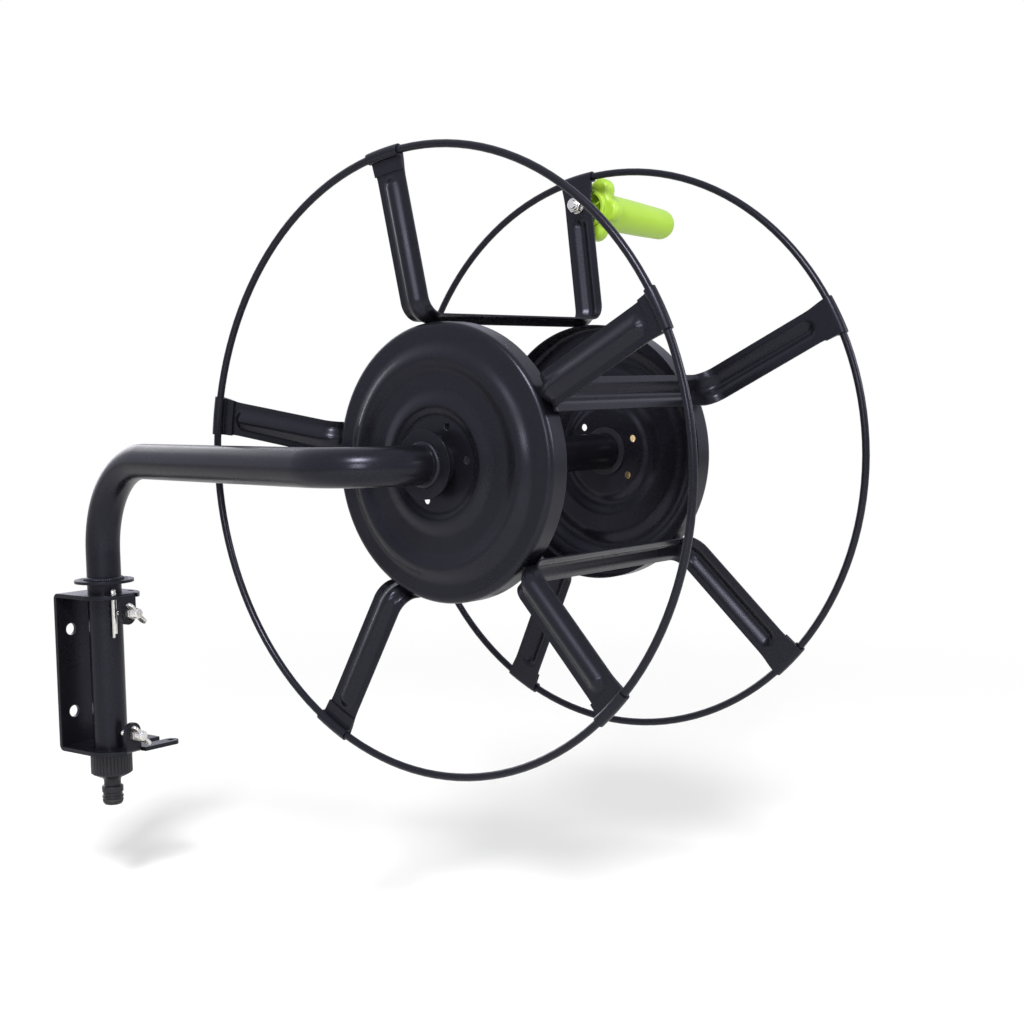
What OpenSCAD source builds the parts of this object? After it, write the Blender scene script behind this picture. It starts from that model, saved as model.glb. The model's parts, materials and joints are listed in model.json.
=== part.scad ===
/* [Wheels] */
// Outside diameter of the two wheels
wheel_d = 400; // [340:5:460]
// Width over the two wheels, rod to rod
wheel_w = 209.4; // [180:0.2:260]
// Diameter of the rim rod
rim_rod_d = 5; // [4:0.5:6]
// Near wheel's plane, along the axle from the post
wheel_off = 4; // [2:0.5:20]

/* [Spoke strips] */
// Direction of the first strip, from the wall side upwards
spoke_phase = 81.3; // [60:0.1:110]
// Width of a pressed strip
strip_w = 23; // [21:0.5:28]
// Sheet thickness of a strip
strip_t = 1.2; // [1:0.1:1.5]
// Lean of the legs out to the rims
strip_lean = 4; // [3:0.5:7]
// Bend between leg and slat, at mid sheet
strip_bend_r = 12; // [9:0.5:16]
// Width of the pressed rib at its foot
rib_w = 14.5; // [12:0.5:16]
// Height of the pressed rib
rib_h = 3.5; // [2.5:0.1:4.5]
// Radius of the rib's foot, at mid sheet
rib_foot_r = 1.6; // [1.2:0.1:1.8]
// Radius of the rib's shoulder, at mid sheet
rib_crest_r = 2.4; // [1.6:0.1:2.6]
// Slope of the rib's flank
rib_slope = 60; // [50:1:70]
// Spread of the tab at the rim, on each side
tab_flare = 1.5; // [0.5:0.1:3]
// Length over which the tab spreads
flare_len = 18; // [10:1:25]
// Length of the hem folded back below the roll
hem_len = 8.8; // [6:0.2:12]
// Plain sheet between the hem and the end of the rib
rib_stop = 1.5; // [0.5:0.5:6]

/* [Drum discs] */
// Outside diameter of a drum disc
disc_d = 179; // [150:1:200]
// Sheet thickness of a disc
disc_t = 1; // [0.8:0.1:1.5]
// Depth of the disc's turned rim
disc_rim = 16; // [12:0.5:20]
// Corner between the face and the rim
disc_corner_r = 4; // [2.5:0.5:6]
// Near wheel's plane to the near disc's face
disc_inset = 11; // [10:0.5:20]
// Far wheel's plane to the far disc's face
far_disc_inset = 15; // [10:0.5:20]
// Flat land inside the corner
disc_land = 8; // [5:1:12]
// Radius of the flat hub plate
hub_plate_r = 30; // [28:1:34]
// Hub plate in front of the disc's outer land
hub_rise = 2; // [1:0.5:4]
// Height of the ring round the hub plate, over the plate
crest_h = 2.4; // [1:0.2:3]
// Height of the middle valley over the land
valley_h = 2; // [0:0.5:3]
// Height of the outer ridge over the land
ridge_h = 4.2; // [3:0.2:6]
// Pitch circle of the four hub holes
hub_hole_pcd = 50.4; // [46:0.2:52]
// Angle between the two holes of a pair
hub_hole_pair = 63; // [50:1:90]
// Diameter of a hub hole
hub_hole_d = 5; // [4:0.5:6]
// Direction of the near disc's first hole
near_hole_phase = 201.5; // [0:0.5:359]
// Direction of the far disc's first hole
far_hole_phase = 249; // [0:0.5:359]

/* [Bushes] */
// Wall of the plastic bush round the axle
bush_wall = 2.2; // [1.5:0.1:3]
// Diameter of the bush's flange
bush_flange_d = 34; // [31:0.5:40]
// Thickness of the bush's flange
bush_flange_t = 2; // [1.5:0.5:4]
// Length of the far bush outside its disc
bush_nose = 2; // [1:0.5:4]

/* [Swivel arm] */
// Outside diameter of the tube
tube_d = 25.4; // [22:0.1:27]
// Wall of the tube
tube_t = 2; // [1.5:0.1:3]
// Post axis to reel axis, square to the wall
arm_reach = 326.8; // [290:0.2:400]
// Reel axis above the middle of the wall plate
axle_h = 160; // [150:1:220]
// Turn of the arm away from the reel
arm_skew = 10; // [6:0.5:14]
// Bend above the post
post_bend_r = 69; // [50:1:75]
// Bend into the axle
hub_bend_r = 46; // [38:1:48]
// Tube below the bracket
post_tail = 13.5; // [10:0.5:14]

/* [Collars] */
// Diameter of the two welded collars
collar_d = 44; // [41:0.5:50]
// Thickness of a collar
collar_t = 2.2; // [1.5:0.1:3]
// Post collar above the bracket
collar_lift = 8; // [7.5:0.5:12]
// Leg of the weld bead
weld_leg = 2; // [1.5:0.1:3]
// Number of index holes in the post collar
index_n = 8; // [4:1:12]
// Gap between the hub collar and the near disc's plate
hub_standoff = 10.7; // [8:0.1:18]

/* [Wall bracket] */
// Width of the wall plate
plate_w = 46; // [44:1:60]
// Height of the wall plate
plate_h = 120; // [110:2:150]
// Sheet thickness of the bracket
plate_t = 3; // [2.5:0.5:4]
// Outside radius of the bracket's bends
plate_bend_r = 4.5; // [4.5:0.5:7]
// Wall to post axis
post_off = 32; // [28:1:40]
// Middle of the flange's round nose in front of the post axis
nose_off = 4.4; // [2:0.2:8]
// Sideways spacing of the wall holes
bolt_dx = 21; // [18:1:24]
// Upright spacing of the wall holes
bolt_dz = 63; // [50:1:80]
// Diameter of a wall hole
bolt_hole_d = 9; // [7:0.5:10]
// Reach of the fork along the wall, from the post axis
fork_len = 46; // [38:1:60]
// Width of the fork's front prong
prong_front_w = 12; // [9:0.5:13]
// Width of the fork's back prong
prong_back_w = 14; // [8:0.5:15]
// Width of the fork's slot
fork_slot_w = 11; // [9:0.5:12]
// Front edge of the fork, in front of the post axis
fork_front = 27; // [25:0.5:27]
// Length of the fork's slot
fork_slot_len = 19; // [12:1:22]
// Diameter of the hole in the front prong
fork_hole_d = 5; // [4:0.5:6]
// Fork hole from the prong's end
fork_hole_in = 6; // [5:0.5:8]
// Diameter of the second pin hole, right of the post
spare_hole_d = 5; // [4:0.5:5.5]
// Distance of the second pin hole from the post axis
spare_hole_r = 20; // [18.5:0.5:20]
// Direction of the second pin hole, from the axle's direction
spare_hole_angle = -22; // [-30:1:-10]

/* [Clamp screws] */
// Direction of the clamp tabs, from the axle's direction
tab_angle = -84; // [-90:1:-80]
// Post axis to the middle of a clamp tab
tab_r = 23.2; // [22:0.1:24]
// Width of a clamp tab
clamp_tab_w = 15; // [13:0.5:17]
// Length of a clamp tab
clamp_tab_len = 23; // [21:0.5:26]
// Clamp screw from the plate's end
screw_drop = 14; // [13:0.5:16]
// Diameter of the clamp screw
screw_d = 5; // [4:0.5:6]
// Length of the wing head
wing_head_len = 7; // [5:0.5:9]
// Diameter of the wing head
wing_head_d = 9; // [8:0.5:10]
// Reach of a wing from the screw's axis
wing_reach = 11.5; // [9:0.5:12]
// Width of a wing
wing_w = 6.5; // [5:0.5:7.5]
// Thickness of a wing
wing_t = 2.2; // [1.5:0.1:3]
// Turn of the wings about the screw
wing_turn = 45; // [0:5:90]
// Width across the flats of the lock nut
lock_nut_af = 8; // [7.5:0.5:10]
// Height of the lock nut
lock_nut_h = 4; // [3:0.5:5]

/* [Split pin] */
// Diameter of the split pin
pin_d = 4.8; // [4:0.2:5]
// Distance of the pin from the post axis
pin_r = 17.1; // [16.5:0.1:18]
// Direction of the pin, from the axle's direction
pin_angle = -105.3; // [-115:0.1:-104]
// Length of the long leg below the flange's top
pin_len = 32.4; // [24:0.2:40]
// How much shorter the other leg is
pin_short = 3; // [1:0.5:5]
// Outside diameter of the pin's eye
pin_eye_d = 6.9; // [6.2:0.1:7]
// Slit between the legs
pin_slit = 0.3; // [0.2:0.1:0.6]

/* [Tap connector] */
// Diameter of the connector's ribbed collar
conn_d = 31; // [29.5:0.5:36]
// Length of the ribbed collar
conn_len = 16.3; // [16:0.1:20]
// Diameter of the connector's neck
neck_d = 12.6; // [12:0.1:14]
// Diameter of the push-fit nipple
nipple_d = 16; // [15.5:0.1:17]
// Diameter of the water way
water_d = 9; // [7:0.5:10]
// Number of grip grooves
grip_n = 36; // [24:2:48]
// Thickness of the flat seal
seal_t = 2; // [1.5:0.1:2.5]

/* [Hose swivel] */
// Width across the flats of the stem's nut
stem_af = 30; // [28:1:34]
// Height of the stem's nut
stem_nut_h = 8; // [6:0.5:12]
// Diameter of the swivel's journal
journal_d = 18; // [16:0.5:19]
// Outside diameter of the swivel
swivel_d = 32; // [30:0.5:38]
// Length of the swivel
swivel_len = 21; // [20:0.5:28]
// Outside diameter of the outlet's thread
outlet_d = 26.4; // [24:0.1:27]
// Length of the outlet's thread
outlet_len = 14; // [10:0.5:20]
// Neck between the swivel and the outlet's thread
outlet_neck = 4; // [2:0.5:8]

/* [Handle] */
// Distance of the handle's bolt from the reel axis
handle_r = 178.5; // [165:0.5:180]
// Thread diameter of the handle's bolt
bolt_d = 6; // [5:0.5:6.5]
// Width across the flats of its nut and head
nut_af = 10; // [9:0.5:11]
// Height of the nut
nut_h = 5.8; // [5:0.2:7]
// Diameter of the washers
washer_d = 12; // [11:0.5:13]
// Thickness of the washers
washer_t = 1.2; // [1:0.1:1.6]
// Reach of the handle from the strip
handle_len = 113; // [95:1:130]
// Diameter of the grip at the knob
grip_d0 = 26; // [25:0.5:28]
// Diameter of the grip at its end
grip_d1 = 23; // [21:0.5:25]
// Spread of the knob from lobe tip to the axis
knob_r = 23.5; // [21:0.5:26]
// Radius of a lobe
lobe_r = 8.5; // [7:0.5:10]
// Thickness of the knob
knob_t = 17; // [14:1:22]
// Rounding of the knob's edges
knob_edge = 3.5; // [1:0.5:5]
// Length of the ring behind the knob
ring_len = 6; // [5.5:0.5:9]
// Outside diameter of that ring
ring_d = 24; // [22:0.5:26]
// Depth of the hollow in the ring
ring_depth = 14; // [8:1:18]

/* [Fits] */
// Radial clearance where a piece turns on another
run_gap = 0.08; // [0.05:0.01:0.1]
// Gap between faces of pieces that move
face_gap = 0.3; // [0.2:0.05:0.5]
// Gap where a fixed piece is seated
seat_gap = 0.04; // [0.02:0.01:0.1]

/* [Hidden] */
$fn = 64;

// Colours
powder_black = [0.11, 0.11, 0.13];
plated = [0.76, 0.75, 0.72];
lime = [0.62, 0.84, 0.22];
black_plastic = [0.13, 0.13, 0.15];
brass = [0.72, 0.55, 0.28];
rubber = [0.07, 0.07, 0.07];

// Wheels and drum, along the axle
rim_r = (wheel_d - rim_rod_d) / 2;
rim_gap = wheel_w - rim_rod_d;
axle_y = -(post_off + arm_reach);
near_face_x = wheel_off + disc_inset;
far_face_x = wheel_off + rim_gap - far_disc_inset;
disc_r = disc_d / 2;
near_plate_x = near_face_x - hub_rise;
far_plate_x = far_face_x + hub_rise;

// Swell of a strip's bends and how far a straight run reaches into them
joint_swell = 0.02;
joint_lap = 0.2;

// Toe of the hub collar's weld, round the end of the bend
weld_toe_w = 2;
weld_toe_h = 0.25;
weld_toe_gap = 0.3;

// Tube
tube_r = tube_d / 2;
post_bottom = -plate_h / 2 - post_tail;
arm_turn = 90 + arm_skew;
leg_len = arm_reach / cos(arm_skew);
hub_tangent = hub_bend_r * tan(arm_turn / 2);
corner_x = -leg_len * sin(arm_skew);
axle_x = corner_x + hub_tangent;
hub_collar_x = near_plate_x - hub_standoff - collar_t;
thrust_x = far_plate_x + bush_nose + face_gap;
thrust_t = 1.5;
axle_end_x = thrust_x + thrust_t;

// Section of a strip and its run in the plane of the axle and the spoke
tab_w = strip_w + 2 * tab_flare;
roll_in = rim_rod_d / 2 + seat_gap;
roll_mid = roll_in + strip_t / 2;
flank_len = (rib_h - (rib_foot_r + rib_crest_r) * (1 - cos(rib_slope))) / sin(rib_slope);
crest_half = rib_w / 2 - (rib_foot_r + rib_crest_r) * sin(rib_slope) - flank_len * cos(rib_slope);
slat_r = disc_r + seat_gap + strip_t / 2 + rib_h;
leg_top = [roll_mid * cos(strip_lean) + 0.05, rim_r + roll_mid * sin(strip_lean)];
strip_leg = (leg_top[1] - slat_r - strip_bend_r * (1 - sin(strip_lean))) / cos(strip_lean);
bend_x = leg_top[0] + strip_leg * sin(strip_lean) + strip_bend_r * cos(strip_lean);
bend_z = slat_r + strip_bend_r;
leg_foot = [bend_x - strip_bend_r * cos(strip_lean), bend_z - strip_bend_r * sin(strip_lean)];
roll_lap = 0.4;
hem_top = strip_leg - (roll_mid * sin(strip_lean) + roll_in + strip_t) / cos(strip_lean) + roll_lap;
hem_foot = hem_top - hem_len;
handle_at = (handle_r - leg_foot[1]) / cos(strip_lean);
rib_run = hem_foot - rib_stop - rib_w / 2;
rib_run_handle = handle_at - ring_d / 2 - face_gap - rib_stop / 3 - rib_w / 2;

// Bracket
nose_r = plate_w / 2;
nose_y = -(post_off + nose_off);
fork_y = -(post_off + fork_front);
screw_z = plate_h / 2 - screw_drop;
tab_face = tab_r + plate_t / 2;
tab_relief = 1.2;
head_x = tab_face + lock_nut_h + face_gap;

// Split pin
pin_hole_r = pin_d / 2 + run_gap;
eye_wire = (pin_eye_d - pin_d / 2 - 1.2) / 4 + 0.3;
eye_drop = sqrt(pow(pin_eye_d / 2, 2) - pow(pin_hole_r - seat_gap, 2));
eye_z = plate_h / 2 + eye_drop;

// Tap connector, downwards from the bracket's foot
conn_top = -plate_h / 2 - face_gap;
socket_floor = post_bottom - seal_t;
neck_top = conn_top - conn_len - 7;
nipple_top = neck_top - 3.6;
nipple_ring = 4;
nipple_len = 14;
nipple_groove = 0.8;
nipple_ring_sink = 1.1;

// Hose swivel, outwards from the end of the axle
stem_face = axle_end_x + stem_nut_h;
swivel_x = stem_face + face_gap;
outlet_x = swivel_x + swivel_len / 2;
clip_x = swivel_x + swivel_len + face_gap;
clip_t = 1.2;
o_ring_w = 0.9;
o_ring_in = 3;
journal_r = journal_d / 2;
stem_bore_r = journal_r - 3.5;
chamber_r = journal_r + 2.5;
chamber_half = swivel_len / 2 - 6.5;
outlet_low = swivel_d / 2 + outlet_neck + outlet_len;

// Handle, outwards from the outer face of the strip
knob_z = washer_t + face_gap + ring_len;
grip_z = knob_z + knob_t;
lobe_n = 5;
cap_r = grip_d1 / 2;
head_z = handle_len - cap_r - 6;
head_h = 4;
sleeve_r = bolt_d / 2 + 2.2;
recess_r = nut_af / 2 / cos(30) + 1;

// Frames that the pieces are placed in

// Axle direction up, from a place along the axle
module on_axle(x) {
    translate([x, axle_y, axle_h])
        rotate([0, 90, 0])
            children();
}

// Near wheel's plane, with the spoke's direction up
module on_spoke(angle) {
    translate([wheel_off, axle_y, axle_h])
        rotate([angle - 90, 0, 0])
            children();
}

// Post axis, turned to the arm's leg
module on_arm() {
    translate([0, -post_off, 0])
        rotate([0, 0, -arm_turn])
            children();
}

// Clamp screw's axis, outwards from the post
module on_screw(z) {
    translate([0, -post_off, z])
        rotate([0, 0, tab_angle])
            rotate([0, 90, 0])
                children();
}

// Handle's axis, outwards from the outer face of the first strip
module on_handle() {
    on_spoke(spoke_phase)
        translate([
            rim_gap - leg_foot[0] + handle_at * sin(strip_lean) + strip_t / 2 * cos(strip_lean),
            0,
            leg_foot[1] + handle_at * cos(strip_lean) - strip_t / 2 * sin(strip_lean)
        ])
            rotate([0, 90 + strip_lean, 0])
                children();
}

// Shapes used by several pieces

// Part of a ring of sheet, from one angle to another
module arc_band(r, t, from, to) {
    reach = 2 * (r + t);
    intersection() {
        difference() {
            circle(r + t / 2);
            circle(r - t / 2);
        }
        polygon([
            [0, 0],
            reach * [cos(from), sin(from)],
            reach * [cos((from + to) / 2), sin((from + to) / 2)],
            reach * [cos(to), sin(to)]
        ]);
    }
}

// What a round corner takes off a square one at the origin
module corner_waste(r) {
    difference() {
        translate([-1, -1])
            square(r + 1);
        translate([r, r])
            circle(r);
    }
}

// Flat ring
module washer(d, bore, t) {
    linear_extrude(t)
        difference() {
            circle(d = d);
            circle(d = bore);
        }
}

// Ring of round section
module torus(r, wire_r) {
    rotate_extrude()
        translate([r, 0])
            circle(wire_r);
}

// Line of a strip's section from the rib's middle to distance x, shifted by v from mid sheet
function rib_line(v, x) = concat(
    [[0, rib_h + v]],
    [for (k = [0:5])
        let (a = 90 - rib_slope * k / 5)
            [crest_half, rib_h - rib_crest_r] + (rib_crest_r + v) * [cos(a), sin(a)]],
    [for (k = [0:5])
        let (a = 270 - rib_slope * (1 - k / 5))
            [rib_w / 2, rib_foot_r] + (rib_foot_r - v) * [cos(a), sin(a)]],
    [[x, v]]
);

// Same list from its end to its start
function backwards(list) = [for (k = [len(list) - 1:-1:0]) list[k]];

// Half of a strip's section, out to distance x, with sheet thickness t
module half_strip_2d(x, t) {
    polygon(concat(rib_line(t / 2, x), backwards(rib_line(-t / 2, x))));
}

// Section of a strip: two flanges and the rib, which rises to the outside of the bends
module strip_2d(swell = 0) {
    line = rib_line(strip_t / 2 + swell, strip_w / 2 + swell);
    under = rib_line(-strip_t / 2 - swell, strip_w / 2 + swell);
    polygon(concat(
        [for (p = backwards(line)) [-p[0], p[1]]],
        [for (k = [1:len(line) - 1]) line[k]],
        backwards(under),
        [for (k = [1:len(under) - 1]) [-under[k][0], under[k][1]]]
    ));
}

// Section of the roll round the rim rod, as distance from the axle and place along it
module roll_2d() {
    grip = 90 - strip_lean + 12;
    translate([rim_r, 0])
        difference() {
            circle(roll_in + strip_t);
            circle(roll_in);
            polygon([
                [0, 0],
                4 * roll_in * [cos(grip), sin(grip)],
                4 * roll_in * [-1, 1],
                [-4 * roll_in, 0]
            ]);
        }
    translate([rim_r - roll_in - strip_t, 0])
        square([strip_t, roll_mid]);
}

// Leg of a strip laid flat: run along +Y from the bend to the rim, rib upwards
module strip_leg_flat(run) {
    lap = 0.5;
    translate([0, run, 0]) {
        rotate([90, 0, 0])
            linear_extrude(run + joint_lap)
                strip_2d();
        rotate_extrude(angle = 180)
            half_strip_2d(rib_w / 2 + lap, strip_t);
    }
    translate([0, 0, -strip_t / 2])
        linear_extrude(strip_t)
            difference() {
                polygon([
                    [-strip_w / 2, run - lap],
                    [strip_w / 2, run - lap],
                    [strip_w / 2, strip_leg - flare_len],
                    [tab_w / 2, strip_leg - hem_len / 2],
                    [tab_w / 2, strip_leg],
                    [-tab_w / 2, strip_leg],
                    [-tab_w / 2, strip_leg - hem_len / 2],
                    [-strip_w / 2, strip_leg - flare_len]
                ]);
                translate([0, run])
                    circle(rib_w / 2);
                translate([-rib_w / 2, run - 2 * lap])
                    square([rib_w, 2 * lap]);
            }
    translate([-tab_w / 2, hem_foot, strip_t / 2])
        cube([tab_w, hem_len, strip_t]);
}

// One end of a strip: leg, bend and the roll round the rim rod
module strip_end(run) {
    translate([leg_foot[0], 0, leg_foot[1]])
        rotate([0, -strip_lean, 0])
            rotate([90, 0, -90])
                strip_leg_flat(run);
    translate([bend_x, 0, bend_z])
        rotate([90, 0, 0])
            rotate([0, 0, 180 + strip_lean])
                rotate_extrude(angle = 90 - strip_lean)
                    translate([strip_bend_r, 0])
                        rotate(-90)
                            strip_2d(joint_swell);
    roll_angle = 2 * asin(tab_w / 2 / rim_r);
    rotate([180, -90, 0])
        rotate([0, 0, -roll_angle / 2])
            rotate_extrude(angle = roll_angle)
                roll_2d();
}

// Whole strip: both ends and the slat between them
module strip_body(far_run) {
    strip_end(rib_run);
    translate([rim_gap, 0, 0])
        mirror([1, 0, 0])
            strip_end(far_run);
    translate([bend_x - joint_lap, 0, slat_r])
        rotate([180, 0, 90])
            translate([0, rim_gap - 2 * bend_x + 2 * joint_lap, 0])
                rotate([90, 0, 0])
                    linear_extrude(rim_gap - 2 * bend_x + 2 * joint_lap)
                        strip_2d();
}

// Height of the pressed face at a share u of the way from hub plate to land
face_rings = [
    [0, hub_rise],
    [0.16, hub_rise + crest_h],
    [0.36, valley_h],
    [0.56, valley_h],
    [0.78, ridge_h],
    [1, 0]
];
function face_height(u, i = 0) =
    u <= face_rings[i + 1][0] || i == len(face_rings) - 2
        ? face_rings[i][1] + (face_rings[i + 1][1] - face_rings[i][1])
            * (1 - cos(180 * (u - face_rings[i][0]) / (face_rings[i + 1][0] - face_rings[i][0]))) / 2
        : face_height(u, i + 1);

// Pressed disc: rippled face upwards and rim turned down
module disc_shell() {
    land_r = disc_r - disc_corner_r - disc_land;
    steps = 44;
    bore_r = tube_r + run_gap + bush_wall + seat_gap;
    face = [for (k = [0:steps]) [hub_plate_r + (land_r - hub_plate_r) * k / steps, face_height(k / steps)]];
    top = concat([[bore_r, hub_rise]], face, [[disc_r - disc_corner_r, 0]]);
    rotate_extrude()
        polygon(concat(
            top,
            [for (k = [len(top) - 1:-1:0]) [top[k][0], top[k][1] - disc_t]]
        ));
    rotate_extrude()
        translate([disc_r - disc_corner_r, -disc_corner_r])
            arc_band(disc_corner_r - disc_t / 2, disc_t, 0, 90);
    translate([0, 0, -disc_rim])
        linear_extrude(disc_rim - disc_corner_r)
            difference() {
                circle(disc_r);
                circle(disc_r - disc_t);
            }
}

// Two pairs of holes through a hub plate
module hub_holes(phase) {
    for (turn = [0, hub_hole_pair, 180, 180 + hub_hole_pair])
        rotate([0, 0, phase + turn])
            translate([hub_hole_pcd / 2, 0, hub_rise - 2 * disc_t])
                cylinder(h = 4 * disc_t, d = hub_hole_d);
}

// Round flat puck with rounded edges, standing on z = 0
module puck(r, h, edge) {
    rotate_extrude()
        difference() {
            square([r, h]);
            translate([r, 0])
                mirror([1, 0])
                    corner_waste(edge);
            translate([r, h])
                mirror([1, 1])
                    rotate(0)
                        corner_waste(edge);
        }
}

// Pieces fixed to the wall

module bracket_side_2d() {
    difference() {
        translate([-post_off - nose_off - nose_r, -plate_h / 2])
            square([post_off + nose_off + nose_r, plate_h]);
        translate([-post_off - nose_off - nose_r - 1, -plate_h / 2 + plate_t])
            square([post_off + nose_off + nose_r + 1 - plate_t, plate_h - 2 * plate_t]);
        for (end = [0, 1])
            mirror([0, end])
                translate([0, -plate_h / 2])
                    mirror([1, 0])
                        corner_waste(plate_bend_r);
    }
}

module flange_2d() {
    translate([-plate_w / 2, nose_y])
        square([plate_w, -nose_y]);
    translate([0, nose_y])
        circle(nose_r);
}

module fork_2d() {
    front_r = prong_front_w / 2;
    slot_y = fork_y + prong_front_w;
    back_y = slot_y + fork_slot_w;
    difference() {
        union() {
            translate([0, fork_y])
                square([fork_len - front_r, prong_front_w]);
            translate([fork_len - front_r, fork_y + front_r])
                circle(front_r);
            translate([0, fork_y])
                square([fork_len - fork_slot_len, back_y - fork_y]);
            translate([0, back_y])
                square([fork_len - 3, prong_back_w]);
        }
        translate([fork_len - fork_slot_len, slot_y + fork_slot_w / 2])
            circle(d = fork_slot_w);
        translate([fork_len - fork_hole_in, fork_y + front_r])
            circle(d = fork_hole_d);
    }
}

// Clamp tab turned down from the top flange's front edge
module clamp_tab() {
    end_r = clamp_tab_w / 2;
    translate([0, -post_off, 0])
        rotate([0, 0, tab_angle])
            translate([tab_r - plate_t / 2, 0, 0])
                rotate([90, 0, 90])
                    linear_extrude(plate_t) {
                        translate([-end_r, plate_h / 2 - clamp_tab_len + end_r])
                            square([clamp_tab_w, clamp_tab_len - end_r]);
                        translate([0, plate_h / 2 - clamp_tab_len + end_r])
                            circle(end_r);
                    }
}

// Round outside of the tab's bend
module tab_corner() {
    translate([0, -post_off, plate_h / 2])
        rotate([0, 0, tab_angle])
            translate([tab_face, (clamp_tab_w + tab_relief) / 2, 0])
                rotate([90, 0, 0])
                    linear_extrude(clamp_tab_w + tab_relief)
                        rotate(180)
                            corner_waste(plate_t);
}

// What is cut from the flange in front of a tab, with a relief on both sides
module tab_relief_cut() {
    translate([0, -post_off, plate_h / 2 - plate_t - 1])
        rotate([0, 0, tab_angle]) {
            translate([tab_face, -clamp_tab_w / 2 - tab_relief, 0])
                cube([nose_r, clamp_tab_w + 2 * tab_relief, plate_t + 2]);
            for (side = [0, 1])
                mirror([0, side, 0])
                    translate([tab_r - plate_t, clamp_tab_w / 2, 0])
                        cube([nose_r, tab_relief, plate_t + 2]);
        }
}

// Plate and flanges as bent from the sheet, without holes
module bracket_sheet() {
    difference() {
        intersection() {
            translate([-plate_w / 2, 0, 0])
                rotate([90, 0, 90])
                    linear_extrude(plate_w / 2 + fork_len)
                        bracket_side_2d();
            union() {
                linear_extrude(plate_h / 2)
                    flange_2d();
                translate([0, 0, -plate_h / 2])
                    linear_extrude(plate_h / 2) {
                        flange_2d();
                        fork_2d();
                    }
            }
        }
        for (end = [0, 1])
            mirror([0, 0, end])
                tab_relief_cut();
    }
}

module wall_bracket() {
    color(powder_black)
        difference() {
            union() {
                bracket_sheet();
                for (end = [0, 1])
                    mirror([0, 0, end])
                        clamp_tab();
            }
            for (end = [0, 1])
                mirror([0, 0, end])
                    tab_corner();
            for (z = [-screw_z, screw_z])
                on_screw(z)
                    cylinder(h = tab_face + 1, r = screw_d / 2 + run_gap);
            translate([0, -post_off, -plate_h])
                cylinder(h = 2 * plate_h, r = tube_r + run_gap);
            translate([0, -post_off, 0]) {
                rotate([0, 0, pin_angle])
                    translate([pin_r, 0, 0])
                        cylinder(h = plate_h, r = pin_hole_r);
                rotate([0, 0, spare_hole_angle])
                    translate([spare_hole_r, 0, 0])
                        cylinder(h = plate_h, d = spare_hole_d);
            }
            for (x = [-1, 1], z = [-1, 1])
                translate([x * bolt_dx / 2, 1, z * bolt_dz / 2])
                    rotate([90, 0, 0])
                        cylinder(h = plate_t + 2, d = bolt_hole_d);
        }
}

module lock_nuts() {
    color(plated)
        for (z = [-screw_z, screw_z])
            on_screw(z)
                translate([0, 0, tab_face + seat_gap])
                    difference() {
                        rotate([0, 0, 30])
                            cylinder(h = lock_nut_h - seat_gap, r = lock_nut_af / 2 / cos(30), $fn = 6);
                        translate([0, 0, -1])
                            cylinder(h = lock_nut_h + 2, r = screw_d / 2 + run_gap);
                    }
}

module split_pin() {
    leg_h = pin_len + eye_drop - pin_eye_d / 2 + eye_wire;
    color(plated)
        translate([0, -post_off, 0])
            rotate([0, 0, pin_angle])
                translate([pin_r, 0, 0])
                    rotate([0, 0, -pin_angle - 49]) {
                        translate([0, 0, eye_z])
                            rotate([90, 0, 0])
                                torus(pin_eye_d / 2 - eye_wire, eye_wire);
                        for (side = [0, 1])
                            mirror([side, 0, 0])
                                intersection() {
                                    translate([0, 0, plate_h / 2 - pin_len + side * pin_short])
                                        cylinder(h = leg_h - side * pin_short, d = pin_d);
                                    translate([pin_slit / 2, -pin_d, 0])
                                        cube([pin_d, 2 * pin_d, plate_h]);
                                }
                    }
}

module wing_screw(z) {
    color(plated)
        on_screw(z) {
            translate([0, 0, tube_r + face_gap])
                cylinder(h = head_x - tube_r - face_gap, d = screw_d);
            translate([0, 0, head_x])
                cylinder(h = wing_head_len, d1 = wing_head_d, d2 = wing_head_d - 1.5);
            for (turn = [0, 180])
                rotate([0, 0, wing_turn + turn])
                    translate([0, wing_t / 2, head_x])
                        rotate([90, 0, 0])
                            linear_extrude(wing_t) {
                                translate([0, 0.6])
                                    square([wing_reach - wing_w / 2, wing_w]);
                                translate([wing_reach - wing_w / 2, 0.6 + wing_w / 2])
                                    circle(d = wing_w);
                            }
        }
}

// Pieces that swing with the arm

module tube_2d(toe = 0) {
    difference() {
        circle(tube_r + toe);
        circle(tube_r - tube_t - toe);
    }
}

module swivel_arm() {
    toe_turn = asin(weld_toe_gap / hub_bend_r);
    color(powder_black) {
        on_arm() {
            translate([0, 0, axle_h - post_bend_r])
                rotate([180, 0, 0])
                    linear_extrude(axle_h - post_bend_r - post_bottom)
                        tube_2d();
            translate([post_bend_r, 0, axle_h - post_bend_r])
                rotate([90, 0, 0])
                    rotate([0, 0, 90])
                        rotate_extrude(angle = 90)
                            translate([post_bend_r, 0])
                                tube_2d();
            translate([post_bend_r, 0, axle_h])
                rotate([0, 90, 0])
                    linear_extrude(leg_len - post_bend_r - hub_tangent)
                        tube_2d();
            translate([leg_len - hub_tangent, hub_bend_r, axle_h])
                rotate([0, 0, -90])
                    rotate_extrude(angle = arm_turn - toe_turn)
                        translate([hub_bend_r, 0])
                            tube_2d();
        }
        on_axle(axle_x - weld_toe_w / 2)
            linear_extrude(weld_toe_w)
                tube_2d(weld_toe_h);
        on_axle(axle_x + weld_toe_gap)
            linear_extrude(axle_end_x - axle_x - weld_toe_gap)
                tube_2d();
    }
}

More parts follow.
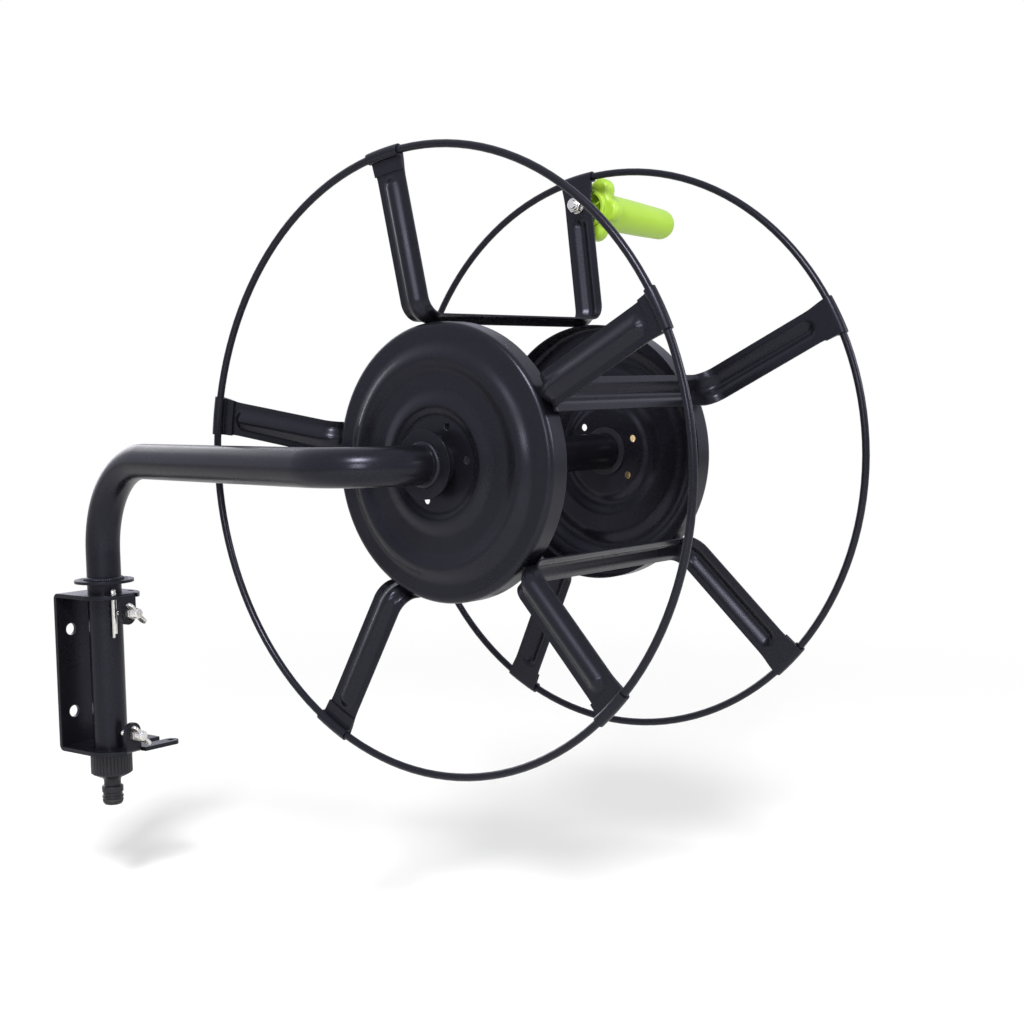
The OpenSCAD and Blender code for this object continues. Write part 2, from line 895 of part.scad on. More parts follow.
// Collar with its weld bead on top
module welded_collar() {
    washer(collar_d, tube_d + 2 * seat_gap, collar_t);
    translate([0, 0, collar_t])
        rotate_extrude()
            translate([tube_r + seat_gap, 0])
                intersection() {
                    circle(weld_leg);
                    square(weld_leg);
                }
}

module post_collar() {
    color(powder_black)
        translate([0, -post_off, plate_h / 2 + collar_lift])
            difference() {
                welded_collar();
                for (k = [0:index_n - 1])
                    rotate([0, 0, pin_angle + 360 / index_n * k])
                        translate([pin_r, 0, -1])
                            cylinder(h = collar_t + 2, r = pin_hole_r - 0.2);
            }
}

module hub_collar() {
    color(powder_black)
        difference() {
            on_axle(hub_collar_x + collar_t)
                mirror([0, 0, 1])
                    welded_collar();
            on_axle(axle_x - weld_toe_w / 2 - seat_gap)
                cylinder(h = weld_toe_w + 2 * seat_gap, r = tube_r + weld_toe_h + seat_gap);
        }
}

module tap_connector() {
    shoulder_z = conn_top - conn_len;
    shoulder_r = neck_d / 2 + 4;
    nipple_r = nipple_d / 2;
    color(black_plastic)
        translate([0, -post_off, 0])
            difference() {
                union() {
                    translate([0, 0, shoulder_z])
                        linear_extrude(conn_len)
                            difference() {
                                circle(d = conn_d);
                                for (k = [0:grip_n - 1])
                                    rotate(360 / grip_n * k)
                                        translate([conn_d / 2, 0])
                                            circle(0.45);
                            }
                    rotate_extrude()
                        difference() {
                            polygon([
                                [0, shoulder_z + 0.5],
                                [conn_d / 2 - 0.5, shoulder_z + 0.5],
                                [conn_d / 2 - 0.5, shoulder_z],
                                [conn_d / 2 - 1.2, shoulder_z - 1],
                                [shoulder_r, neck_top + 4],
                                [shoulder_r, neck_top],
                                [0, neck_top]
                            ]);
                            translate([shoulder_r, neck_top])
                                circle(4);
                        }
                    rotate_extrude()
                        polygon([
                            [0, neck_top + 0.5],
                            [neck_d / 2, neck_top + 0.5],
                            [neck_d / 2, nipple_top + 0.8],
                            [nipple_r - 0.4, nipple_top],
                            [nipple_r, nipple_top - 0.4],
                            [nipple_r, nipple_top - 0.4 - nipple_ring],
                            [nipple_r - nipple_groove, nipple_top - 1 - nipple_ring],
                            [nipple_r - nipple_groove, nipple_top - 7],
                            [nipple_r, nipple_top - 7.6],
                            [nipple_r, nipple_top - 8.6],
                            [nipple_r - 0.5, nipple_top - 9.2],
                            [nipple_r - 0.5, nipple_top - 12.4],
                            [nipple_r - 1.6, nipple_top - nipple_len],
                            [0, nipple_top - nipple_len]
                        ]);
                }
                translate([0, 0, socket_floor])
                    cylinder(h = 2 * conn_len, r = tube_r + seat_gap);
                translate([0, 0, nipple_top - 2 * nipple_len])
                    cylinder(h = 3 * conn_len, d = water_d);
                translate([0, 0, nipple_top - 10.8])
                    torus(nipple_r - nipple_ring_sink, 1);
            }
}

module connector_seal() {
    color(rubber)
        translate([0, -post_off, socket_floor])
            washer(tube_d - 0.4, water_d, seal_t);
}

module connector_o_ring() {
    color(rubber)
        translate([0, -post_off, nipple_top - 10.8])
            torus(nipple_d / 2 - nipple_ring_sink, 1 - seat_gap);
}

module thrust_washer() {
    color(plated)
        on_axle(thrust_x)
            washer(bush_flange_d, tube_d + 2 * seat_gap, thrust_t);
}

module swivel_stem() {
    clip_end = clip_x + clip_t + 1.5;
    color(brass)
        difference() {
            union() {
                on_axle(axle_end_x - 16)
                    cylinder(h = 16, r = tube_r - tube_t - seat_gap);
                on_axle(axle_end_x)
                    cylinder(h = stem_nut_h, r = stem_af / 2 / cos(30), $fn = 6);
                on_axle(stem_face)
                    cylinder(h = clip_end - stem_face, d = journal_d);
            }
            on_axle(axle_end_x - 17)
                cylinder(h = outlet_x + 5 - axle_end_x + 17, r = stem_bore_r);
            translate([outlet_x, axle_y, axle_h - journal_d])
                cylinder(h = 2 * journal_d, r = chamber_half - 0.5);
            for (x = [swivel_x + o_ring_in, swivel_x + swivel_len - o_ring_in])
                on_axle(x - o_ring_w - 0.1)
                    washer(journal_d + 1, journal_d - 4 * o_ring_w, 2 * o_ring_w + 0.2);
            on_axle(clip_x - 0.05)
                washer(journal_d + 1, journal_d - 2.4, clip_t + 0.1);
        }
}

module stem_o_rings() {
    color(rubber)
        for (x = [swivel_x + o_ring_in, swivel_x + swivel_len - o_ring_in])
            on_axle(x)
                torus(journal_r - o_ring_w, o_ring_w - seat_gap);
}

module swivel_circlip() {
    color(plated)
        on_axle(clip_x)
            difference() {
                washer(journal_d + 5, journal_d - 2.3, clip_t);
                translate([0, -2, -1])
                    cube([journal_d, 4, clip_t + 2]);
            }
}

// Pieces that turn with the reel

module hose_swivel() {
    color(brass)
        difference() {
            union() {
                on_axle(swivel_x)
                    puck(swivel_d / 2, swivel_len, 1.2);
                translate([outlet_x, axle_y, axle_h - swivel_d / 2 - outlet_neck]) {
                    cylinder(h = swivel_d / 2 + outlet_neck, d = outlet_d - 6);
                    translate([0, 0, -outlet_len])
                        cylinder(h = outlet_len, d = outlet_d);
                }
            }
            on_axle(swivel_x - 1)
                cylinder(h = swivel_len + 2, r = journal_r + run_gap);
            on_axle(outlet_x - chamber_half)
                cylinder(h = 2 * chamber_half, r = chamber_r);
            translate([outlet_x, axle_y, axle_h - 2 * outlet_low])
                cylinder(h = 2 * outlet_low, d = outlet_d - 12);
        }
}

// Bush seen from the inside of its disc: flange at the bottom, sleeve upwards
module bush(nose) {
    difference() {
        union() {
            cylinder(h = bush_flange_t, d = bush_flange_d);
            cylinder(h = bush_flange_t + disc_t + 2 * seat_gap + nose, r = tube_r + run_gap + bush_wall);
        }
        translate([0, 0, -1])
            cylinder(h = bush_flange_t + disc_t + nose + 3, r = tube_r + run_gap);
    }
}

module near_bush() {
    color(black_plastic)
        on_axle(near_plate_x + disc_t + seat_gap + bush_flange_t)
            mirror([0, 0, 1])
                bush(hub_standoff - face_gap - seat_gap);
}

module far_bush() {
    color(black_plastic)
        on_axle(far_plate_x - disc_t - seat_gap - bush_flange_t)
            bush(bush_nose - seat_gap);
}

module near_disc() {
    color(powder_black)
        on_axle(near_face_x)
            mirror([0, 0, 1])
                difference() {
                    disc_shell();
                    hub_holes(near_hole_phase);
                }
}

module far_disc() {
    color(powder_black)
        on_axle(far_face_x)
            difference() {
                disc_shell();
                hub_holes(far_hole_phase);
            }
}

module rim(x) {
    color(powder_black)
        on_axle(x)
            torus(rim_r, rim_rod_d / 2);
}

// Strip number k; the first one carries the handle at its far end
module spoke_strip(k) {
    $fn = 28;
    color(powder_black)
        if (k == 1)
            difference() {
                on_spoke(spoke_phase)
                    strip_body(rib_run_handle);
                on_handle()
                    translate([0, 0, -5])
                        cylinder(h = 10, r = bolt_d / 2 + seat_gap);
            }
        else
            on_spoke(spoke_phase + 72 * (k - 1))
                strip_body(rib_run);
}

module handle_bolt() {
    end_z = -strip_t - washer_t - nut_h - 1;
    color(plated)
        on_handle() {
            translate([0, 0, end_z])
                cylinder(h = head_z - end_z, d = bolt_d);
            translate([0, 0, head_z])
                cylinder(h = head_h, r = nut_af / 2 / cos(30), $fn = 6);
        }
}

module handle_nut() {
    hex_h = nut_h * 0.7;
    color(plated)
        on_handle()
            translate([0, 0, -strip_t - washer_t - 2 * seat_gap])
                mirror([0, 0, 1])
                    difference() {
                        union() {
                            cylinder(h = hex_h, r = nut_af / 2 / cos(30), $fn = 6);
                            cylinder(h = nut_h, d = nut_af - 1);
                        }
                        translate([0, 0, -1])
                            cylinder(h = nut_h + 2, r = bolt_d / 2 + seat_gap);
                    }
}

module handle_washers() {
    color(plated)
        on_handle()
            for (z = [-strip_t - washer_t - seat_gap, seat_gap])
                translate([0, 0, z])
                    washer(washer_d, bolt_d + 2 * seat_gap, washer_t - seat_gap);
}

// Outline of the five-lobed knob
module knob_2d() {
    circle(knob_r - lobe_r + 3);
    for (k = [0:lobe_n - 1])
        rotate(360 / lobe_n * k)
            translate([knob_r - lobe_r, 0])
                circle(lobe_r);
}

module handle_grip() {
    back_z = washer_t + face_gap;
    ring_in = ring_d / 2 - 2.5;
    color(lime)
        on_handle()
            difference() {
                union() {
                    translate([0, 0, back_z])
                        cylinder(h = ring_len + knob_edge, d = ring_d);
                    translate([0, 0, knob_z])
                        intersection() {
                            linear_extrude(knob_t)
                                knob_2d();
                            puck(knob_r + 0.7, knob_t, knob_edge);
                        }
                    translate([0, 0, grip_z - knob_edge])
                        cylinder(h = handle_len - cap_r - grip_z + knob_edge, d1 = grip_d0, d2 = grip_d1);
                }
                difference() {
                    translate([0, 0, back_z - 1])
                        cylinder(h = ring_depth + 1, r = ring_in);
                    translate([0, 0, back_z - 2])
                        cylinder(h = ring_depth + 3, r = sleeve_r);
                    for (k = [0:5])
                        rotate([0, 0, 60 * k + 12])
                            translate([0, -0.7, back_z + 2])
                                cube([ring_d, 1.4, ring_depth]);
                }
                translate([0, 0, back_z - 1])
                    cylinder(h = handle_len, r = bolt_d / 2 + run_gap);
                translate([0, 0, head_z - face_gap])
                    cylinder(h = handle_len, r = recess_r);
            }
}

module handle_cap() {
    color(lime)
        on_handle() {
            translate([0, 0, handle_len - cap_r - 1.5])
                cylinder(h = 1.5 + seat_gap, r = recess_r - seat_gap);
            translate([0, 0, handle_len - cap_r + seat_gap])
                rotate_extrude()
                    intersection() {
                        circle(cap_r);
                        square(cap_r);
                    }
        }
}

wall_bracket();
lock_nuts();
split_pin();
wing_screw(screw_z);  // upper_wing_screw
wing_screw(-screw_z);  // lower_wing_screw
swivel_arm();
post_collar();
hub_collar();
tap_connector();
connector_seal();
connector_o_ring();
thrust_washer();
swivel_stem();
stem_o_rings();
swivel_circlip();
hose_swivel();
near_bush();
far_bush();
near_disc();
far_disc();
rim(wheel_off);  // near_rim
rim(wheel_off + rim_gap);  // far_rim
spoke_strip(1);  // spoke_strip_1
spoke_strip(2);  // spoke_strip_2
spoke_strip(3);  // spoke_strip_3
spoke_strip(4);  // spoke_strip_4
spoke_strip(5);  // spoke_strip_5
handle_bolt();
handle_nut();
handle_washers();
handle_grip();
handle_cap();
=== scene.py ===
"""Looks of the wall hose reel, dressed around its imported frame.

Lengths are in metres unless a name says otherwise.
"""

import json
import logging
from dataclasses import dataclass
from enum import Enum
from math import cos, hypot, pi, radians, sin, sqrt
from typing import Callable, Sequence

import bmesh
import bpy
from mathutils import Matrix, Vector


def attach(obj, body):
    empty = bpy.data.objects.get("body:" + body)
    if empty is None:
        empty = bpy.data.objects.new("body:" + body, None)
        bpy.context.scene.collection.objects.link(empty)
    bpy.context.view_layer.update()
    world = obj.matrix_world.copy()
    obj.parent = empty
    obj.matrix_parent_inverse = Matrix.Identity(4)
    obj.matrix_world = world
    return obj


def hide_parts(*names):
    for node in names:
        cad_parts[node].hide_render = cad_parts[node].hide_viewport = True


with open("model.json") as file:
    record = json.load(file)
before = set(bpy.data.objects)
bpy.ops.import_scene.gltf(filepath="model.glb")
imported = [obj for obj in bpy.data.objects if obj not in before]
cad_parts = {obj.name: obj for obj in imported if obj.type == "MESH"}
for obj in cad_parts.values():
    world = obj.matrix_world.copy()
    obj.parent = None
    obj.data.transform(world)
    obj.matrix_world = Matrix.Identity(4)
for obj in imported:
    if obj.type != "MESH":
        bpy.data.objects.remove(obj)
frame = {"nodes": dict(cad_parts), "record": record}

LOG = logging.getLogger("hose_reel")
MM = 0.001
BEVEL_SAMPLES = 6
SMOOTH_ANGLE_DEG = 32.0
Colour = tuple[float, float, float]
RadiusAt = Callable[[float], float]
Faces = list[tuple[int, ...]]
Part = tuple[list[Vector], Faces]
Socket = bpy.types.NodeSocket
Finish = bpy.types.Material
Piece = bpy.types.Object


class Slot(Enum):
    """Material slots of the record."""

    POWDER = "powder"
    PLATED = "plated"
    GREEN = "green_plastic"
    BLACK = "black_plastic"
    BRASS = "brass"
    RUBBER = "rubber"


class Body(Enum):
    """Rigid bodies of the record."""

    BRACKET = "bracket"
    PIN = "pin"
    UPPER_SCREW = "upper_screw"
    LOWER_SCREW = "lower_screw"
    ARM = "arm"
    REEL = "reel"
    HANDLE = "handle"


# Finishes


class NodeSheet:
    """Node tree of one finish, with short calls to add and join nodes."""

    def __init__(self, name: str) -> None:
        """Starts an empty finish.

        Args:
            name: Name of the Blender material.
        """
        self.material = bpy.data.materials.new(name)
        self.material.use_nodes = True
        self.tree = self.material.node_tree
        self.tree.nodes.clear()
        self.output = self.add("ShaderNodeOutputMaterial")
        self.place = self.add("ShaderNodeTexCoord").outputs["Object"]

    def add(
        self, kind: str, settings: dict | None = None, inputs: dict | None = None
    ) -> bpy.types.ShaderNode:
        """Adds one node.

        Args:
            kind: Blender's node type.
            settings: Properties of the node.
            inputs: Socket name to a value, or to the output that feeds it.

        Returns:
            The new node.
        """
        node = self.tree.nodes.new(kind)
        for key, value in (settings or {}).items():
            setattr(node, key, value)
        for key, value in (inputs or {}).items():
            if isinstance(value, Socket):
                self.tree.links.new(value, node.inputs[key])
            else:
                node.inputs[key].default_value = value
        return node

    def noise(
        self, scale: float, detail: float = 3.0, stretch: Sequence[float] = (1.0, 1.0, 1.0)
    ) -> Socket:
        """Adds a noise over the piece.

        Args:
            scale: Grains per metre.
            detail: Octaves of the noise.
            stretch: Scale along the three axes, for streaks.

        Returns:
            The noise's value.
        """
        mapping = self.add("ShaderNodeMapping", inputs={"Vector": self.place, "Scale": stretch})
        inputs = {"Vector": mapping.outputs["Vector"], "Scale": scale, "Detail": detail}
        return self.add("ShaderNodeTexNoise", inputs=inputs).outputs["Fac"]

    def ramp(
        self, value: Socket, low: float, high: float, start: float = 0.3, end: float = 0.7
    ) -> Socket:
        """Maps a noise to a range.

        Args:
            value: The noise.
            low: Result where the noise is at start.
            high: Result where the noise is at end.
            start: Low end of the noise.
            end: High end of the noise.

        Returns:
            The mapped value.
        """
        limits = {"From Min": start, "From Max": end, "To Min": low, "To Max": high}
        return self.add("ShaderNodeMapRange", inputs={"Value": value, **limits}).outputs["Result"]

    def tint(self, share: Socket, first: Colour, second: Colour) -> Socket:
        """Mixes two colours.

        Args:
            share: Share of the second colour.
            first: Colour at 0.
            second: Colour at 1.

        Returns:
            The mixed colour.
        """
        mix = self.add("ShaderNodeMix", {"data_type": "RGBA"})
        self.tree.links.new(share, mix.inputs[0])
        mix.inputs[6].default_value = (*first, 1.0)
        mix.inputs[7].default_value = (*second, 1.0)
        return mix.outputs[2]

    def bump(self, height: Socket, strength: float, depth: float, edge: float = 0.0) -> Socket:
        """Turns a height into a normal.

        Args:
            height: The height map.
            strength: Share of the bump, 0 to 1.
            depth: Height in metres of a full step.
            edge: Radius to which sharp edges look rounded, or 0.

        Returns:
            The normal.
        """
        inputs: dict = {"Height": height, "Strength": strength, "Distance": depth}
        if edge:
            bevel = self.add("ShaderNodeBevel", {"samples": BEVEL_SAMPLES}, {"Radius": edge})
            inputs["Normal"] = bevel.outputs["Normal"]
        return self.add("ShaderNodeBump", inputs=inputs).outputs["Normal"]

    def finish(self, inputs: dict) -> Finish:
        """Closes the sheet with one surface shader.

        Args:
            inputs: Sockets of the surface shader.

        Returns:
            The finished material.
        """
        surface = self.add("ShaderNodeBsdfPrincipled", inputs=inputs)
        self.tree.links.new(surface.outputs["BSDF"], self.output.inputs["Surface"])
        return self.material


@dataclass(frozen=True)
class PowderCoat:
    """Satin black powder coat on steel, with a fine orange peel and a little dust."""

    name: str = "powder_coat_black"
    colour: Colour = (0.0045, 0.0045, 0.0062)
    dust: Colour = (0.010, 0.010, 0.014)
    sheen: Colour = (0.80, 0.79, 1.0)
    peel_per_m: float = 620.0
    peel_depth: float = 0.04 * MM
    edge: float = 0.45 * MM
    gloss: float = 0.25

    def build(self) -> Finish:
        """Makes the material.

        Returns:
            The finished material.
        """
        sheet = NodeSheet(self.name)
        peel = sheet.noise(self.peel_per_m, 2.0)
        cloud = sheet.noise(26.0, 4.0)
        speck = sheet.noise(1900.0, 1.0)
        colour = sheet.tint(sheet.ramp(speck, 0.0, 1.0, 0.45, 0.8), self.colour, self.dust)
        inputs = {
            "Base Color": colour,
            "Roughness": sheet.ramp(cloud, 0.24, 0.31),
            "Specular IOR Level": self.gloss,
            "Specular Tint": (*self.sheen, 1.0),
            "Normal": sheet.bump(peel, 0.25, self.peel_depth, self.edge),
        }
        return sheet.finish(inputs)


@dataclass(frozen=True)
class ZincPlate:
    """Bright zinc plate with faint drawing streaks and a warm cast in patches."""

    name: str = "zinc_plate"
    cool: Colour = (0.70, 0.70, 0.69)
    warm: Colour = (0.66, 0.62, 0.53)
    edge: float = 0.2 * MM

    def build(self) -> Finish:
        """Makes the material.

        Returns:
            The finished material.
        """
        sheet = NodeSheet(self.name)
        streak = sheet.noise(700.0, 3.0, (1.0, 1.0, 0.12))
        patch = sheet.noise(140.0, 3.0)
        share = sheet.ramp(patch, 0.0, 1.0, 0.4, 0.75)
        inputs = {
            "Base Color": sheet.tint(share, self.cool, self.warm),
            "Metallic": 1.0,
            "Roughness": sheet.ramp(streak, 0.2, 0.36),
            "Normal": sheet.bump(streak, 0.2, 0.03 * MM, self.edge),
        }
        return sheet.finish(inputs)


@dataclass(frozen=True)
class MouldedPlastic:
    """Moulded plastic with a fine spark-eroded grain and slight flow marks."""

    name: str
    colour: Colour
    shade: Colour
    smooth: float
    rough: float
    grain_per_m: float = 1500.0
    grain_depth: float = 0.03 * MM
    gloss: float = 0.3
    glow: float = 0.0
    edge: float = 0.35 * MM

    def build(self) -> Finish:
        """Makes the material.

        Returns:
            The finished material.
        """
        sheet = NodeSheet(self.name)
        grain = sheet.noise(self.grain_per_m, 2.0)
        flow = sheet.noise(45.0, 3.0, (1.0, 1.0, 0.5))
        inputs = {
            "Base Color": sheet.tint(sheet.ramp(flow, 0.0, 1.0), self.colour, self.shade),
            "Roughness": sheet.ramp(flow, self.smooth, self.rough),
            "Specular IOR Level": self.gloss,
            "Normal": sheet.bump(grain, 0.3, self.grain_depth, self.edge),
        }
        if self.glow:
            inputs["Subsurface Weight"] = self.glow
            inputs["Subsurface Radius"] = (0.6, 1.0, 0.2)
            inputs["Subsurface Scale"] = 1.2 * MM
        return sheet.finish(inputs)


@dataclass(frozen=True)
class TurnedBrass:
    """Turned brass, slightly dulled, with tool rings."""

    name: str = "turned_brass"
    bright: Colour = (0.78, 0.56, 0.25)
    dull: Colour = (0.52, 0.36, 0.16)

    def build(self) -> Finish:
        """Makes the material.

        Returns:
            The finished material.
        """
        sheet = NodeSheet(self.name)
        ring = sheet.noise(1300.0, 2.0, (1.0, 0.08, 0.08))
        stain = sheet.noise(90.0, 4.0)
        share = sheet.ramp(stain, 0.0, 1.0, 0.4, 0.8)
        inputs = {
            "Base Color": sheet.tint(share, self.bright, self.dull),
            "Metallic": 1.0,
            "Roughness": sheet.ramp(stain, 0.24, 0.42),
            "Normal": sheet.bump(ring, 0.3, 0.03 * MM, 0.3 * MM),
        }
        return sheet.finish(inputs)


@dataclass(frozen=True)
class SealRubber:
    """Matt black rubber of the seals."""

    name: str = "seal_rubber"
    colour: Colour = (0.012, 0.012, 0.012)
    bloom: Colour = (0.02, 0.02, 0.02)

    def build(self) -> Finish:
        """Makes the material.

        Returns:
            The finished material.
        """
        sheet = NodeSheet(self.name)
        skin = sheet.noise(900.0, 3.0)
        inputs = {
            "Base Color": sheet.tint(sheet.ramp(skin, 0.0, 1.0), self.colour, self.bloom),
            "Roughness": sheet.ramp(skin, 0.55, 0.75),
            "Normal": sheet.bump(skin, 0.25, 0.04 * MM),
        }
        return sheet.finish(inputs)


@dataclass(frozen=True)
class StudioFloor:
    """Pale floor that keeps soft shadows near the reel and runs out to white."""

    name: str = "studio_floor"
    colour: Colour = (0.86, 0.86, 0.86)
    lift: float = 0.12
    inner_r: float = 0.55
    outer_r: float = 1.5

    def build(self) -> Finish:
        """Makes the material.

        Returns:
            The finished material.
        """
        sheet = NodeSheet(self.name)
        matt = sheet.add("ShaderNodeBsdfDiffuse", inputs={"Color": (*self.colour, 1.0)})
        seen = sheet.add("ShaderNodeLightPath").outputs["Is Camera Ray"]
        lift = sheet.add("ShaderNodeMath", {"operation": "MULTIPLY"}, {0: seen, 1: self.lift})
        glow = sheet.add("ShaderNodeEmission", inputs={"Strength": lift.outputs["Value"]})
        pair = {0: matt.outputs["BSDF"], 1: glow.outputs["Emission"]}
        both = sheet.add("ShaderNodeAddShader", inputs=pair)
        far = sheet.add("ShaderNodeVectorMath", {"operation": "LENGTH"}, {0: sheet.place})
        limits = {"From Min": self.inner_r, "From Max": self.outer_r, "To Min": 0.0, "To Max": 1.0}
        inputs = {"Value": far.outputs["Value"], **limits}
        out = sheet.add("ShaderNodeMapRange", {"interpolation_type": "SMOOTHSTEP"}, inputs)
        factors = {0: seen, 1: out.outputs["Result"]}
        share = sheet.add("ShaderNodeMath", {"operation": "MULTIPLY"}, factors)
        white = sheet.add("ShaderNodeEmission", inputs={"Strength": 1.0})
        mixed = {0: share.outputs["Value"], 1: both.outputs["Shader"], 2: white.outputs["Emission"]}
        top = sheet.add("ShaderNodeMixShader", inputs=mixed)
        sheet.tree.links.new(top.outputs["Shader"], sheet.output.inputs["Surface"])
        return sheet.material


class Palette:
    """All finishes of the reel, by the record's slots."""

    def __init__(self) -> None:
        """Builds every finish once."""
        green = MouldedPlastic(
            name="green_handle",
            colour=(0.33, 0.52, 0.04),
            shade=(0.30, 0.49, 0.035),
            smooth=0.32,
            rough=0.42,
            gloss=0.4,
            glow=0.12,
        )
        black = MouldedPlastic(
            name="black_fitting",
            colour=(0.0095, 0.0095, 0.013),
            shade=(0.013, 0.013, 0.0175),
            smooth=0.34,
            rough=0.46,
        )
        makers = {
            Slot.POWDER: PowderCoat(),
            Slot.PLATED: ZincPlate(),
            Slot.GREEN: green,
            Slot.BLACK: black,
            Slot.BRASS: TurnedBrass(),
            Slot.RUBBER: SealRubber(),
        }
        self.finishes = {slot: maker.build() for slot, maker in makers.items()}

    def dress(self, piece: Piece, slot: Slot) -> None:
        """Gives a piece its finish, and no other.

        Args:
            piece: The mesh object.
            slot: The record's slot.
        """
        piece.data.materials.clear()
        piece.data.materials.append(self.finishes[slot])


# Mesh tools


def round_faces(mesh: bpy.types.Mesh) -> None:
    """Shades a mesh smooth, and keeps its real edges sharp.

    Args:
        mesh: The mesh.
    """
    for face in mesh.polygons:
        face.use_smooth = True
    mesh.set_sharp_from_angle(angle=radians(SMOOTH_ANGLE_DEG))


def object_from(name: str, part: Part, place: Matrix) -> Piece:
    """Makes a mesh object in the row frame.

    Args:
        name: Name of the piece.
        part: Points and faces in the piece's own frame.
        place: The piece's frame.

    Returns:
        The new object, with its place in its mesh.
    """
    points, faces = part
    mesh = bpy.data.meshes.new(name)
    mesh.from_pydata([tuple(place @ p) for p in points], [], faces)
    shape = bmesh.new()
    shape.from_mesh(mesh)
    bmesh.ops.recalc_face_normals(shape, faces=shape.faces)
    shape.to_mesh(mesh)
    shape.free()
    round_faces(mesh)
    made = bpy.data.objects.new(name, mesh)
    bpy.context.scene.collection.objects.link(made)
    return made


@dataclass
class Ring:
    """One ring of a turned piece: its height, and its radius, which may change with the angle."""

    height: float
    radius: float | RadiusAt

    def points(self, steps: int) -> list[Vector]:
        """Gives the ring's points.

        Args:
            steps: Points round the ring.

        Returns:
            The points, in order.
        """
        made = []
        for k in range(steps):
            angle = 2 * pi * k / steps
            r = self.radius(angle) if callable(self.radius) else self.radius
            made.append(Vector((r * cos(angle), r * sin(angle), self.height)))
        return made


def bend_rings(
    height: float, radius: float, soft: float, start: float, end: float, steps: int
) -> list[Ring]:
    """Rings round one rounded edge.

    Args:
        height: Height of the edge's middle.
        radius: Radius of the edge's middle.
        soft: Radius of the rounding.
        start: First direction.
        end: Last direction.
        steps: Steps between them.

    Returns:
        The rings.
    """
    angles = [start + (end - start) * k / steps for k in range(steps + 1)]
    return [Ring(height + soft * sin(a), radius + soft * cos(a)) for a in angles]


def turned(rings: Sequence[Ring], steps: int, closed: bool = False) -> Part:
    """Skins a row of rings about the local Z axis.

    Args:
        rings: The rings, from one end to the other.
        steps: Points round each ring.
        closed: True where the last ring joins the first, as in a tube with a bore.

    Returns:
        Points and faces. An open row gets flat ends.
    """
    points = [p for ring in rings for p in ring.points(steps)]
    faces: Faces = []
    count = len(rings)
    for i in range(count if closed else count - 1):
        a, b = i * steps, ((i + 1) % count) * steps
        for k in range(steps):
            n = (k + 1) % steps
            faces.append((a + k, a + n, b + n, b + k))
    if not closed:
        for first, ring in ((0, rings[0]), ((count - 1) * steps, rings[-1])):
            centre = len(points)
            points.append(Vector((0, 0, ring.height)))
            faces.extend((centre, first + k, first + (k + 1) % steps) for k in range(steps))
    return points, faces


def loop_faces(loops: int, size: int) -> Faces:
    """Faces that join closed loops of points in a row, with a flat face at each end.

    Args:
        loops: Number of loops.
        size: Points of each loop.

    Returns:
        The faces.
    """
    faces: Faces = []
    for i in range(loops - 1):
        for k in range(size):
            n = (k + 1) % size
            faces.append((i * size + k, i * size + n, (i + 1) * size + n, (i + 1) * size + k))
    faces.append(tuple(range(size - 1, -1, -1)))
    faces.append(tuple((loops - 1) * size + k for k in range(size)))
    return faces


def swept(path: Sequence[Vector], section: Sequence[Vector], side: Vector) -> Part:
    """Sweeps a section along a flat path.

    Args:
        path: Points of the path, in one plane.
        section: The section's outline, as (along the in-plane normal, along side, 0).
        side: Normal of the path's plane.

    Returns:
        Points and faces, with flat ends.
    """
    points: list[Vector] = []
    size = len(section)
    for i, at in enumerate(path):
        along = (path[min(i + 1, len(path) - 1)] - path[max(i - 1, 0)]).normalized()
        normal = along.cross(side).normalized()
        points.extend(at + normal * q.x + side * q.y for q in section)
    return points, loop_faces(len(path), size)


def joined(parts: Sequence[Part]) -> Part:
    """Puts several meshes into one list.

    Args:
        parts: Points and faces of each.

    Returns:
        Points and faces of all.
    """
    points: list[Vector] = []
    faces: Faces = []
    for own_points, own_faces in parts:
        shift = len(points)
        points.extend(own_points)
        faces.extend(tuple(k + shift for k in face) for face in own_faces)
    return points, faces


def moved(part: Part, place: Matrix) -> Part:
    """Moves a mesh list.

    Args:
        part: Points and faces.
        place: Where it goes.

    Returns:
        The moved points and the same faces.
    """
    points, faces = part
    return [place @ p for p in points], faces


def settled(source: Piece) -> bpy.types.Mesh:
    """Turns a piece's modifiers into its mesh.

    Args:
        source: Object with modifiers.

    Returns:
        The object's new mesh, under the object's name.
    """
    bpy.context.view_layer.update()
    view = source.evaluated_get(bpy.context.evaluated_depsgraph_get())
    mesh = bpy.data.meshes.new_from_object(view)
    source.modifiers.clear()
    source.data = mesh
    mesh.name = source.name
    return mesh


def cast_from(source: Piece, voxel: float, passes: int) -> Piece:
    """Runs overlapping solids into one cast skin with soft fillets.

    Args:
        source: Object whose solids overlap.
        voxel: Grain of the new skin.
        passes: Smoothing passes.

    Returns:
        The same object with its new mesh.
    """
    remesh = source.modifiers.new("cast", "REMESH")
    remesh.mode, remesh.voxel_size = "VOXEL", voxel
    soft = source.modifiers.new("soft", "SMOOTH")
    soft.factor, soft.iterations = 0.5, passes
    for face in settled(source).polygons:
        face.use_smooth = True
    return source


def bore(source: Piece, cutter: Piece) -> None:
    """Cuts a hole in a piece and removes the cutter.

    Args:
        source: Object to cut, which gets a new mesh.
        cutter: Solid in the shape of the hole.
    """
    cut = source.modifiers.new("bore", "BOOLEAN")
    cut.operation, cut.solver, cut.object = "DIFFERENCE", "EXACT", cutter
    mesh = settled(source)
    bpy.data.objects.remove(cutter)
    round_faces(mesh)


def turn(angle_deg: float, axis: str) -> Matrix:
    """Rotation about one axis, in degrees."""
    return Matrix.Rotation(radians(angle_deg), 4, axis)


# Places


